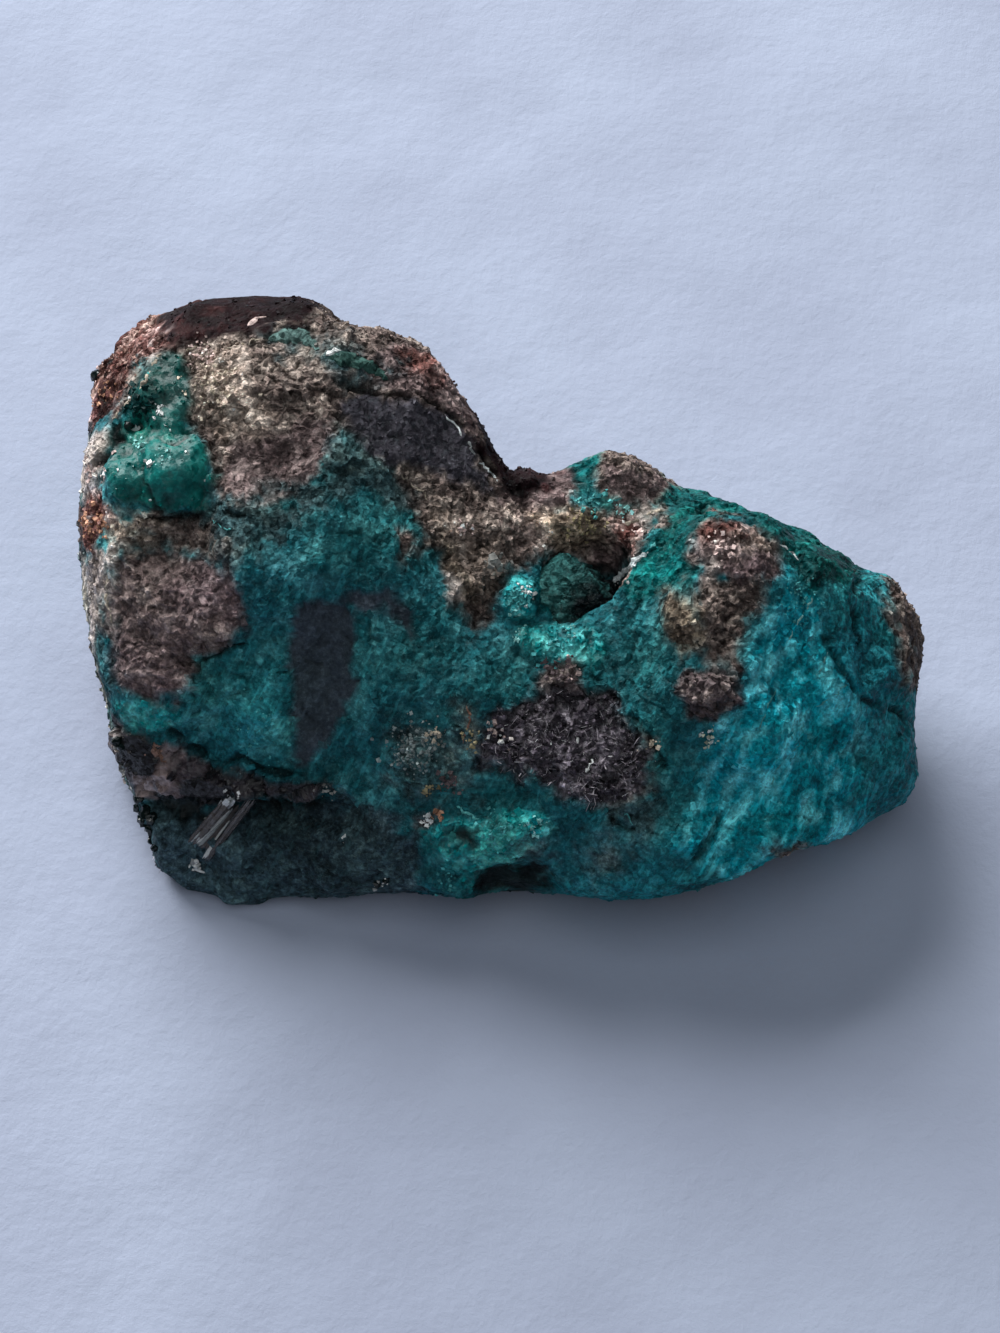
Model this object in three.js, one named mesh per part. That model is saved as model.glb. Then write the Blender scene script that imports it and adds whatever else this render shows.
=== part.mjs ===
// A dioptase specimen: one natural stone of green copper silicate grown through a brown, granular matrix.
// Two lobes stand on a shared body with a notch between them at the back, a low foot juts out under the
// left lobe, and small crystals have grown in the hollows. Units are millimetres, +Z is up, and the origin is
// the middle of the stone's footprint on the surface that it lies on.
//
// The stone is described from its show side. A viewer looks down on it from the front, and every outline
// point and every face is placed by where that viewer sees it on the show plane (mm to the right, mm up) and,
// for a face, by its height above the ground.
import * as THREE from "three";
import { ImprovedNoise } from "three/addons/math/ImprovedNoise.js";

// ---- Driving dimensions ----
const SHOW_SLOPE = 60; // degrees above the horizon that the show side is seen from
const SHOW_DISTANCE = 350; // from the eye to the show plane
const SHOW_CENTRE = new THREE.Vector3(0.1, -8.1, 15); // the show plane's own zero, inside the stone
const CELL = 1.98; // side of the lattice cells that the surface is cut into, about one square to a cell
const EVENING_PASSES = 5; // how often the vertices are spread out evenly over the surface
const CHIP_SHARPNESS = 16; // higher gives harder steps between chips

// Relief of the broken surface, as [size across, height].
const SWELLS = [[13, 1.1], [5.5, 0.7]]; // smooth
const CHIPS = [[8, 2], [4.5, 1.1]]; // flat, tilted

const BLOCK_EDGE = 0.7; // softness of the edges between a block's faces
const BLOCK_JOIN = 1.6; // fillet where two blocks have grown together
const OUTLINE_EDGE = 0.6; // how softly the stone turns away at its outline
const OUTLINE_RELIEF = 0.25; // share of the relief that the outline takes part in

// The outline of the show side, clockwise from the left lobe's upper left corner.
const OUTLINE = [
  [-40.5, 29.6], [-37.9, 32.5], [-34.4, 35], [-30, 36.7], [-25, 37], [-19.2, 36.8], [-17, 34.9],
  [-14.8, 33.7], [-12.6, 33.3], [-11.8, 33.8], [-10.2, 32.9], [-7.6, 32.3], [-5.6, 30.1], [-3.9, 27.3],
  [-2.3, 25.1], [-1, 22.7], [0.2, 20.1], [1.9, 17.6], [2.1, 19], [3.2, 19.4], [4.4, 18.8], [6.3, 19.6],
  [8.5, 20.9], [10.8, 21.9], [13.2, 21.2], [15.5, 19.6], [17.6, 17.9], [21.2, 17.5], [24.5, 16.7],
  [28.5, 14.5], [32.4, 12.2], [35.1, 10.9], [35.8, 9.6], [39, 9.3], [40.5, 7.9], [41.3, 5.7], [42.7, 1.9],
  [41.7, -2.3], [41.5, -6.8], [41.9, -10.8], [41.1, -12.9], [38, -15.1], [34.2, -16.9], [30, -17.9],
  [26.6, -19.3], [23.5, -21.1], [19, -22.2], [15, -23], [10.5, -23.4], [6, -22.6], [2, -22.9],
  [-3, -23.2], [-8, -22.6], [-12.8, -22.6], [-18, -23.3], [-23.8, -24.1], [-28.6, -24.4], [-32.4, -23],
  [-34.4, -20.9], [-35.1, -18.5], [-34.8, -17.1], [-36.4, -15.1], [-36.2, -13.1], [-37.2, -10.5],
  [-38.4, -8.1], [-38.7, -6], [-39.4, -2.7], [-40.3, 0], [-40.9, 4.4], [-41.7, 9.1], [-42.1, 13.4],
  [-41.6, 16.6], [-41.1, 20.4], [-40.8, 24.6],
];

// The faces of each block. seen: a point of the face on the show plane; height: how high that point lies;
// bearing: the way it looks, 0 towards the viewer, 90 right, 180 back; slope: 90 straight up, 0 sideways.
const LEFT_LOBE = [
  { name: "matrix top", seen: [-24.5, 26.7], height: 34.2, bearing: 300, slope: 76 },
  { name: "lobe crest", seen: [-12, 30], height: 35, bearing: 120, slope: 80 },
  { name: "green front", seen: [-20, 6.7], height: 29, bearing: 0, slope: 52 },
  { name: "brown cheek", seen: [-33.5, 4.7], height: 25.5, bearing: 320, slope: 50 },
  { name: "lower front", seen: [-28, -6.3], height: 17, bearing: 350, slope: 30 },
  { name: "pale side", seen: [-42.6, 6.7], height: 17, bearing: 278, slope: 12 },
  { name: "red shoulder", seen: [-39.6, 29.6], height: 27, bearing: 250, slope: 38 },
  { name: "wine rim", seen: [-25, 37.3], height: 32.5, bearing: 185, slope: 36 },
  { name: "back shoulder", seen: [-12, 34.6], height: 31, bearing: 150, slope: 36 },
  { name: "grey slab", seen: [-6, 21.7], height: 32, bearing: 60, slope: 62 },
  { name: "notch wall", seen: [0, 23], height: 26, bearing: 123, slope: 8 },
  { name: "back wall", seen: [-25, 38.6], height: 27, bearing: 182, slope: -8 },
  { name: "left wall", seen: [-43.6, 4], height: 12, bearing: 268, slope: -14 },
  { name: "back left wall", seen: [-40.8, 32.6], height: 20, bearing: 228, slope: -4 },
  { name: "under front", seen: [-28, -12], height: 9, bearing: 350, slope: -30 },
  { name: "under back", seen: [-25, 26.4], height: 8, bearing: 186, slope: -40 },
  { name: "under left", seen: [-42.4, 2], height: 8, bearing: 266, slope: -38 },
  { name: "under back left", seen: [-38.4, 21], height: 9, bearing: 226, slope: -44 },
  { name: "under notch", seen: [0, 12], height: 8, bearing: 130, slope: -36 },
];
const RIGHT_LOBE = [
  { name: "crown", seen: [22, 6.7], height: 30, bearing: 10, slope: 76 },
  { name: "emerald back", seen: [24, 14.7], height: 25, bearing: 175, slope: 48 },
  { name: "back corner", seen: [35, 9.2], height: 21, bearing: 140, slope: 44 },
  { name: "turquoise front", seen: [29, -7.3], height: 23, bearing: 25, slope: 48 },
  { name: "upper end", seen: [39.3, 2.9], height: 19.5, bearing: 75, slope: 50 },
  { name: "lower end", seen: [38, -8.3], height: 15.8, bearing: 45, slope: 44 },
  { name: "lower front", seen: [15, -17.3], height: 14, bearing: 355, slope: 36 },
  { name: "middle front", seen: [10, -8.3], height: 22.5, bearing: 350, slope: 56 },
  { name: "pit flank", seen: [14, 10.7], height: 27.5, bearing: 285, slope: 50 },
  { name: "back wall", seen: [24, 17], height: 20, bearing: 178, slope: -10 },
  { name: "end wall", seen: [44, 1.7], height: 13, bearing: 92, slope: -14 },
  { name: "under front", seen: [20, -22.2], height: 7.5, bearing: 8, slope: -40 },
  { name: "under end", seen: [42.6, -14.8], height: 7.5, bearing: 62, slope: -40 },
  { name: "under back", seen: [24, 9], height: 8, bearing: 172, slope: -40 },
  { name: "under back end", seen: [40, 3], height: 8, bearing: 126, slope: -42 },
];
const BODY = [
  { name: "saddle", seen: [4, 12.7], height: 25.5, bearing: 5, slope: 72 },
  { name: "middle", seen: [-2, -1.3], height: 25.5, bearing: 355, slope: 58 },
  { name: "apron", seen: [-3, -15.3], height: 13.5, bearing: 350, slope: 38 },
  { name: "back wall", seen: [3, 18.2], height: 20, bearing: 180, slope: -2 },
  { name: "under front", seen: [0, -22.6], height: 5, bearing: 0, slope: -42 },
  { name: "under back", seen: [3, 11.8], height: 8, bearing: 180, slope: -36 },
  { name: "left end", seen: [-25, 0], height: 10, bearing: 270, slope: 0 },
  { name: "right end", seen: [25, 0], height: 10, bearing: 90, slope: 0 },
];
const FOOT = [
  { name: "shelf", seen: [-25, -13.3], height: 9.8, bearing: 15, slope: 80 },
  { name: "toe", seen: [-25, -19.6], height: 5.5, bearing: 348, slope: 42 },
  { name: "left side", seen: [-37, -16.3], height: 5, bearing: 282, slope: 6 },
  { name: "back", seen: [-25, -9], height: 0, bearing: 180, slope: 0 },
  { name: "right end", seen: [-8, -16], height: 6, bearing: 70, slope: 20 },
];

// Forms on the show side: rounded lumps and ridges, and pits and grooves, along a line of places on the show
// plane. rise: how far the form stands out of the face that carries it, or below zero how deep it goes in.
const FORMS = [
  { name: "green lump, left", seen: [[-36.7, 18]], radius: 3, rise: 2 },
  { name: "green lump, right", seen: [[-32.2, 18.8]], radius: 3.8, rise: 2.2 },
  { name: "green lump, upper", seen: [[-34, 28.2], [-35, 25.6]], radius: 2.6, rise: 0.9 },
  { name: "green lens", seen: [[-16.2, 31.3], [-11.4, 29.2]], radius: 1.9, rise: 0.8 },
  { name: "matrix hump", seen: [[-25, 26.6], [-19, 25.4]], radius: 6, rise: 1 },
  { name: "saddle boulder", seen: [[-2, 12.5]], radius: 5, rise: 1.1 },
  { name: "saddle boulder, lower", seen: [[-4.2, 8]], radius: 3.2, rise: 0.8 },
  { name: "turquoise knot", seen: [[2.3, 7.2]], radius: 2.6, rise: 1.5 },
  { name: "dark green knot", seen: [[5.4, 6.8]], radius: 3, rise: 1 },
  { name: "turquoise brow", seen: [[3.5, 2.5], [8.5, 1.5]], radius: 2.2, rise: 0.8 },
  { name: "crag", seen: [[12.2, 18.6]], radius: 4.8, rise: 2.4 },
  { name: "brown lump, left", seen: [[21.5, 11.2]], radius: 4.2, rise: 1.3 },
  { name: "brown lump, right", seen: [[25.2, 12]], radius: 3.6, rise: 1.1 },
  { name: "brown lump, middle", seen: [[20, 4.2]], radius: 4, rise: 0.8 },
  { name: "brown lump, lower", seen: [[21, -2.4]], radius: 3.4, rise: 1.3 },
  { name: "druse pad", seen: [[4, -7.5], [9, -6.5]], radius: 6.5, rise: 0.8 },
  { name: "turquoise crust", seen: [[-5, -16.6], [3, -15.8]], radius: 3.4, rise: 1.3 },
  { name: "granular patch", seen: [[-7.6, -9]], radius: 4, rise: 0.7 },
  { name: "emerald edge", seen: [[11.2, 8.4], [15.5, 12.6], [19, 14.8]], radius: 1.2, rise: 1 },
  { name: "end crest", seen: [[33.2, 4], [34.8, 0], [36.5, -3.8], [37, -9]], radius: 1.4, rise: 0.7 },
  { name: "matrix crest", seen: [[-35.8, 24], [-33.6, 31], [-27, 33.2], [-20, 33.2]], radius: 1.2, rise: 0.8 },
  { name: "ledge lip", seen: [[-38, -7], [-32, -10.4], [-26, -12.6], [-15.5, -12.8]], radius: 1.5, rise: 1 },
  { name: "notch knob", seen: [[2.7, 18.4]], radius: 1.1, rise: 0.9 },
  { name: "saddle pit", seen: [[9.4, 9.6], [7.6, 8.6]], radius: 3.6, rise: -3.8 },
  { name: "crust cavity", seen: [[-1.8, -22], [3.8, -21.4]], radius: 1.7, rise: -2 },
  { name: "black hole, lower", seen: [[-38, 20.6]], radius: 1.2, rise: -1.4 },
  { name: "black hole, upper", seen: [[-36.2, 23.6]], radius: 1.3, rise: -1.4 },
  { name: "slab trough", seen: [[-17, 5.6], [-18.6, -8]], radius: 6, rise: -0.6 },
  { name: "end crack", seen: [[34.6, 5.6], [37, -3.2], [41.6, -5.4]], radius: 0.9, rise: -0.7 },
  { name: "outline nick", seen: [[35.8, 9.8], [34.8, 7.6]], radius: 0.8, rise: -0.8 },
  { name: "glassy shard", seen: [[-29.8, -14.6], [-26.2, -19.2]], radius: 1.5, rise: 1.3 },
  { name: "under the ledge", seen: [[-34.6, -14], [-27, -14.8], [-16, -14.6]], radius: 1.8, rise: -1.8 },
];
const FORM_EDGE = 0.35; // softness where a form meets its face

// ---- The show plane ----
const toRadians = THREE.MathUtils.degToRad;
const showUp = new THREE.Vector3(0, Math.sin(toRadians(SHOW_SLOPE)), Math.cos(toRadians(SHOW_SLOPE)));
const showToEye = new THREE.Vector3(0, -Math.cos(toRadians(SHOW_SLOPE)), Math.sin(toRadians(SHOW_SLOPE)));
const eye = SHOW_CENTRE.clone().addScaledVector(showToEye, SHOW_DISTANCE);

// Where the viewer sees a point, on the show plane.
function seenAt(point) {
  const from = point.clone().sub(SHOW_CENTRE);
  const shrink = 1 - from.dot(showToEye) / SHOW_DISTANCE;
  return [from.x / shrink, from.dot(showUp) / shrink];
}

// The point at a height above the ground that the viewer sees at a place on the show plane.
function pointSeen([across, up], height) {
  const onPlane = SHOW_CENTRE.clone().addScaledVector(showUp, up);
  onPlane.x += across;
  const ray = onPlane.sub(eye);
  return eye.clone().addScaledVector(ray, (height - eye.z) / ray.z);
}

function directionOf(bearing, slope) {
  const level = Math.cos(toRadians(slope));
  return new THREE.Vector3(
    Math.sin(toRadians(bearing)) * level,
    -Math.cos(toRadians(bearing)) * level,
    Math.sin(toRadians(slope)),
  );
}

// ---- Distances: negative inside the stone ----
// The largest of the values, with a soft turn of the given width where two are close.
function softMax(values, width) {
  const top = Math.max(...values);
  const sum = values.reduce((total, value) => total + Math.exp((value - top) / width), 0);
  return top + width * Math.log(sum);
}

const softMin = (values, width) => -softMax(values.map((value) => -value), width);

function planesOf(faces) {
  return faces.map(({ seen, height, bearing, slope }) =>
    new THREE.Plane().setFromNormalAndCoplanarPoint(directionOf(bearing, slope), pointSeen(seen, height)));
}

const blocks = [LEFT_LOBE, RIGHT_LOBE, BODY, FOOT].map(planesOf);

function blockDistance(planes, point) {
  return softMax(planes.map((plane) => plane.distanceToPoint(point)), BLOCK_EDGE);
}

// Signed distance from a place on the show plane to a closed outline, by its nearest side and a crossing count.
function outlineDistance([x, y], outline) {
  let nearest = Infinity;
  let inside = false;
  outline.forEach(([x0, y0], i) => {
    const [x1, y1] = outline[(i + 1) % outline.length];
    const [dx, dy] = [x1 - x0, y1 - y0];
    const along = THREE.MathUtils.clamp(((x - x0) * dx + (y - y0) * dy) / (dx * dx + dy * dy), 0, 1);
    nearest = Math.min(nearest, Math.hypot(x - x0 - along * dx, y - y0 - along * dy));
    if (y0 > y !== y1 > y && x < x0 + ((y - y0) / dy) * dx) inside = !inside;
  });
  return inside ? -nearest : nearest;
}

const noise = new ImprovedNoise();

// Smooth bumps of about the given size, from -1 to 1.
function bumps(point, size) {
  return noise.noise(point.x / size + size, point.y / size - size, point.z / size + 2 * size);
}

// A whole number that looks random, from the cell of a lattice. The factors are large primes.
function cellHash(i, j, k) {
  let mixed = Math.imul(i, 374761393) ^ Math.imul(j, 668265263) ^ Math.imul(k, 2147483647);
  mixed = Math.imul(mixed ^ (mixed >>> 13), 1103515245);
  return (mixed ^ (mixed >>> 16)) >>> 0;
}

// Flat chips of about the given size, each tilted its own way, from about -0.5 to 0.5. They follow the cells
// round scattered points, and the steps between them are a little softened.
function chips(point, size) {
  const [x, y, z] = [point.x / size, point.y / size, point.z / size];
  const [i, j, k] = [Math.floor(x), Math.floor(y), Math.floor(z)];
  const share = (bits) => (bits & 1023) / 1023;
  let total = 0;
  let level = 0;
  for (let a = i - 1; a <= i + 1; a++) {
    for (let b = j - 1; b <= j + 1; b++) {
      for (let c = k - 1; c <= k + 1; c++) {
        const hash = cellHash(a, b, c);
        const [u, v, w] = [share(hash), share(hash >>> 10), share(hash >>> 20)];
        const [dx, dy, dz] = [x - a - u, y - b - v, z - c - w];
        const weight = Math.exp(-CHIP_SHARPNESS * (dx * dx + dy * dy + dz * dz));
        level += weight * ((u - 0.5) * dy + (v - 0.5) * dz + (w - 0.5) * dx + 0.5 * (v - 0.5));
        total += weight;
      }
    }
  }
  return level / total;
}

// The blocks grown together, before any smaller form.
function blocksDistance(point) {
  return softMin(blocks.map((planes) => blockDistance(planes, point)), BLOCK_JOIN);
}

// The place on the blocks that the viewer sees, moved by the given distance away from the eye.
function placeOnBlocks([across, up], sink) {
  const MARCH = 0.4;
  const REACH = 60;
  const ray = SHOW_CENTRE.clone().addScaledVector(showUp, up);
  ray.x += across;
  ray.sub(eye).normalize();
  const placeAt = (travelled) => eye.clone().addScaledVector(ray, travelled);
  let travelled = SHOW_DISTANCE - REACH;
  while (blocksDistance(placeAt(travelled)) > 0 && travelled < SHOW_DISTANCE + REACH) travelled += MARCH;
  return placeAt(travelled + sink);
}

const forms = FORMS.map(({ seen, radius, rise }) => ({
  places: seen.map((place) => placeOnBlocks(place, rise > 0 ? radius - rise : -radius - rise)),
  radius,
  raised: rise > 0,
}));

function distanceToLine(point, places) {
  if (places.length === 1) return point.distanceTo(places[0]);
  const closest = new THREE.Vector3();
  const side = new THREE.Line3();
  let nearest = Infinity;
  for (let i = 1; i < places.length; i++) {
    side.set(places[i - 1], places[i]).closestPointToPoint(point, true, closest);
    nearest = Math.min(nearest, closest.distanceTo(point));
  }
  return nearest;
}

function withForms(distance, point) {
  return forms.reduce((carried, { places, radius, raised }) => {
    const form = distanceToLine(point, places) - radius;
    return raised ? softMin([carried, form], FORM_EDGE) : softMax([carried, -form], FORM_EDGE);
  }, distance);
}

function relief(point) {
  const swell = SWELLS.reduce((sum, [size, height]) => sum + height * bumps(point, size), 0);
  return CHIPS.reduce((sum, [size, height]) => sum + height * chips(point, size), swell);
}

// Everything but the flat base.
function bodyDistance(point) {
  const broken = relief(point);
  const outline = outlineDistance(seenAt(point), OUTLINE) + OUTLINE_RELIEF * broken;
  return softMax([withForms(blocksDistance(point) + broken, point), outline], OUTLINE_EDGE);
}

const stoneDistance = (point) => Math.max(bodyDistance(point), -point.z);

// ---- The solid ----
// A lattice of cubes round the stone, its lowest layer halfway below the ground.
const LATTICE_LOW = new THREE.Vector3(-24 * CELL, -18 * CELL, -CELL / 2);
const NODES = [49, 38, 22];
const CORNERS = [0, 1, 2, 3, 4, 5, 6, 7].map((c) => [c & 1, (c >> 1) & 1, c >> 2]);
const FACE_DIAGONALS = [[0, 3, 1, 2], [0, 5, 1, 4], [0, 6, 2, 4], [4, 7, 5, 6], [2, 7, 3, 6], [1, 7, 3, 5]];

const nodeAt = (i, j, k) => i + NODES[0] * (j + NODES[1] * k);
const placeOf = (i, j, k) => LATTICE_LOW.clone().add(new THREE.Vector3(i, j, k).multiplyScalar(CELL));

function forEachNode(visit, short = 0) {
  for (let k = 0; k < NODES[2] - short; k++) {
    for (let j = 0; j < NODES[1] - short; j++) {
      for (let i = 0; i < NODES[0] - short; i++) visit(i, j, k);
    }
  }
}

// Fills in nodes at which the surface would touch itself across the face of a cube, where two opposite corners
// are inside the stone and the other two outside.
function fillPinches(field) {
  const BARELY_INSIDE = -0.05;
  let filled = true;
  while (filled) {
    filled = false;
    forEachNode((i, j, k) => {
      const nodes = CORNERS.map(([a, b, c]) => nodeAt(i + a, j + b, k + c));
      FACE_DIAGONALS.forEach(([a, b, c, d]) => {
        const inside = [a, b, c, d].map((corner) => field[nodes[corner]] < 0);
        if (inside[0] === inside[1] && inside[2] === inside[3] && inside[0] !== inside[2]) {
          const outside = inside[0] ? c : a;
          field[nodes[outside]] = BARELY_INSIDE;
          filled = true;
        }
      });
    }, 1);
  }
}

// One vertex for every cube that the surface passes through, in the middle of the cube's crossings.
function latticeVertices(field) {
  const vertices = [];
  const vertexOfCube = new Map();
  forEachNode((i, j, k) => {
    const sum = new THREE.Vector3();
    let crossings = 0;
    CORNERS.forEach(([a, b, c], from) => {
      [1, 2, 4].filter((bit) => !(from & bit)).forEach((bit) => {
        const [d, e, f] = CORNERS[from | bit];
        const [near, far] = [field[nodeAt(i + a, j + b, k + c)], field[nodeAt(i + d, j + e, k + f)]];
        if (near < 0 === far < 0) return;
        sum.add(placeOf(i + a, j + b, k + c).lerp(placeOf(i + d, j + e, k + f), near / (near - far)));
        crossings += 1;
      });
    });
    if (crossings === 0) return;
    vertexOfCube.set(nodeAt(i, j, k), vertices.length);
    vertices.push({ point: sum.multiplyScalar(1 / crossings), onBase: k === 0, near: new Set() });
  }, 1);
  return { vertices, vertexOfCube };
}

// A square round every lattice edge that the surface crosses, facing out of the stone.
function latticeSquares(field, vertexOfCube) {
  const squares = [];
  forEachNode((i, j, k) => {
    const here = field[nodeAt(i, j, k)] < 0;
    [[1, 0, 0], [0, 1, 0], [0, 0, 1]].forEach(([a, b, c]) => {
      if (field[nodeAt(i + a, j + b, k + c)] < 0 === here) return;
      const [u, v] = [nodeAt(c, a, b), nodeAt(b, c, a)];
      const cube = nodeAt(i, j, k);
      const round = [cube, cube - u, cube - u - v, cube - v].map((n) => vertexOfCube.get(n));
      squares.push(here ? round : round.reverse());
    });
  }, 1);
  return squares;
}

// The stone's closed surface, with each square cut in two along its shorter diagonal.
function stoneGeometry() {
  const field = new Float64Array(NODES[0] * NODES[1] * NODES[2]);
  forEachNode((i, j, k) => {
    field[nodeAt(i, j, k)] = stoneDistance(placeOf(i, j, k));
  });
  fillPinches(field);
  const { vertices, vertexOfCube } = latticeVertices(field);
  const squares = latticeSquares(field, vertexOfCube);
  squares.forEach((square) => square.forEach((vertex, corner) => {
    vertices[vertex].near.add(square[(corner + 1) % 4]).add(square[(corner + 3) % 4]);
  }));
  for (let pass = 0; pass < EVENING_PASSES; pass++) evenOut(vertices);
  const points = vertices.map(({ point }) => point);
  const triangles = squares.flatMap(([a, b, c, d]) => {
    const shortWay = points[a].distanceTo(points[c]) < points[b].distanceTo(points[d]);
    return shortWay ? [a, b, c, a, c, d] : [a, b, d, b, c, d];
  });
  const geometry = new THREE.BufferGeometry().setFromPoints(points);
  geometry.setIndex(triangles);
  geometry.computeVertexNormals();
  return geometry;
}

// Moves each vertex towards the middle of its neighbours, and back onto the surface.
function evenOut(vertices) {
  const moved = vertices.map(({ point, onBase, near }) => {
    const mean = new THREE.Vector3();
    near.forEach((other) => mean.add(vertices[other].point));
    const evened = point.clone().lerp(mean.multiplyScalar(1 / near.size), 0.5);
    return onBase ? insideBase(evened) : ontoSurface(evened);
  });
  vertices.forEach((vertex, i) => vertex.point.copy(moved[i]));
}

// The slope of a distance at a point, by small steps along each axis.
function gradientOf(distance, point) {
  const STEP = 0.15;
  const slope = ["x", "y", "z"].map((axis) => {
    const [ahead, behind] = [point.clone(), point.clone()];
    ahead[axis] += STEP;
    behind[axis] -= STEP;
    return (distance(ahead) - distance(behind)) / (2 * STEP);
  });
  return new THREE.Vector3(...slope);
}

// Moves a point near the surface along a slope of the distance, by as much as should bring it onto the surface.
function slideAlong(gradient, distance, point) {
  const FLATTEST = 0.3;
  const LONGEST_MOVE = 0.8;
  const move = distance / Math.max(gradient.lengthSq(), FLATTEST);
  point.addScaledVector(gradient, -THREE.MathUtils.clamp(move, -LONGEST_MOVE, LONGEST_MOVE));
}

function ontoSurface(point) {
  for (let step = 0; step < 2; step++) slideAlong(gradientOf(bodyDistance, point), bodyDistance(point), point);
  return point;
}

// Keeps a point of the flat base on the ground and inside the sides.
function insideBase(point) {
  point.z = 0;
  const beyond = bodyDistance(point);
  if (beyond > 0) slideAlong(gradientOf(bodyDistance, point).setZ(0), beyond, point);
  return point;
}

const tealStone = new THREE.MeshStandardMaterial({ color: 0x1f5f5c, roughness: 0.75, metalness: 0 });
const stone = new THREE.Mesh(stoneGeometry(), tealStone);
stone.name = "dioptase_specimen";

const specimen = new THREE.Group();
specimen.add(stone);
export default specimen;
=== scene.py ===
"""Looks of the dioptase specimen: the stone's fine surface, its minerals and the small crystals grown on it.

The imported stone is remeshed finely, and each mineral gets its own relief and colours. Grains, needles and
small crystals are joined meshes that sit in it. Geometry is worked out in millimetres and written in metres.
"""
import math
from collections import namedtuple

import bmesh
import bpy
import numpy as np
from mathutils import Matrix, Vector
from mathutils.bvhtree import BVHTree


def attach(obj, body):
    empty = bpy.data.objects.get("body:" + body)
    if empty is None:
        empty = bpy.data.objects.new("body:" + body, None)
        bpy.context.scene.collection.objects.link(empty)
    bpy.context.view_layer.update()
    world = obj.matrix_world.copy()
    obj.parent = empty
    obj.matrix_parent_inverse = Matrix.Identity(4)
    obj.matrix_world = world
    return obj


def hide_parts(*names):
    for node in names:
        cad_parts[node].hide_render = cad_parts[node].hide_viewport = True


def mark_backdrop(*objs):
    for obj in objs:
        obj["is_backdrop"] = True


NODE = "dioptase_specimen"
MM = 0.001  # metres in a millimetre
SEED = 7

# ---- The show side: where the photograph's camera stands, in mm ----
SHOW_SLOPE = 60.0  # degrees above the horizon
SHOW_DISTANCE = 350.0
SHOW_CENTRE = np.array([0.1, -8.1, 15.0])
FRAME_PX = (1000, 1333)
PX_PER_MM = 10.0  # photograph pixels to a millimetre at the show plane
SENSOR = 36.0
SHOW_UP = np.array([0.0, math.sin(math.radians(SHOW_SLOPE)), math.cos(math.radians(SHOW_SLOPE))])
TO_EYE = np.array([0.0, -math.cos(math.radians(SHOW_SLOPE)), math.sin(math.radians(SHOW_SLOPE))])

# ---- Light ----
# Square soft lights: how many degrees left of straight behind they stand and how high above the horizon, then
# their distance and size in metres, power in watts and colour.
SoftLight = namedtuple("SoftLight", "side height distance size power colour")
SOFT_LIGHTS = {
    "window": SoftLight(27.0, 30.0, 1.3, 0.97, 33.0, (1.0, 1.0, 1.0)),
    "ceiling": SoftLight(180.0, 75.0, 0.9, 0.9, 2.4, (0.92, 0.96, 1.0)),
}
LIT_POINT = (0.0, 0.0, 0.015)  # in metres
ROOM_COLOUR = (0.85, 0.93, 1.0, 1.0)
ROOM_STRENGTH = 0.045


def direction(light):
    """The direction from the stone to a soft light."""
    side, height = math.radians(light.side), math.radians(light.height)
    level = math.cos(height)
    return np.array([-math.sin(side) * level, math.cos(side) * level, math.sin(height)])


# A face turned this way mirrors the window to the camera.
CATCHING = direction(SOFT_LIGHTS["window"]) + TO_EYE
CATCHING /= np.linalg.norm(CATCHING)

# ---- The fine surface, in mm ----
VOXEL = 0.30
SMOOTHING = 5
MOST_FACES = 192000  # triangles in the stone's surface
GRAIN_RUNS = np.array([0.45, 0.585, 0.673])  # the direction in which flakes and streaks are drawn out


def srgb(red, green, blue):
    """A linear colour from the 0 to 255 values that a picture of it would have."""
    shares = np.array([red, green, blue]) / 255.0
    return np.where(shares <= 0.04045, shares / 12.92, ((shares + 0.055) / 1.055) ** 2.4)


# Colours run from dark to light, from 0 to 255. Rough is 0 for a mirror. Grit is the strength of the finest
# speckle and relief. Broad, flakes and grains are heights of relief in mm, and stands is how far the mineral
# stands proud. Edge is half the width of its border, in pixels.
Mineral = namedtuple("Mineral", "dark middle light rough grit broad flakes grains stands edge")


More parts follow.
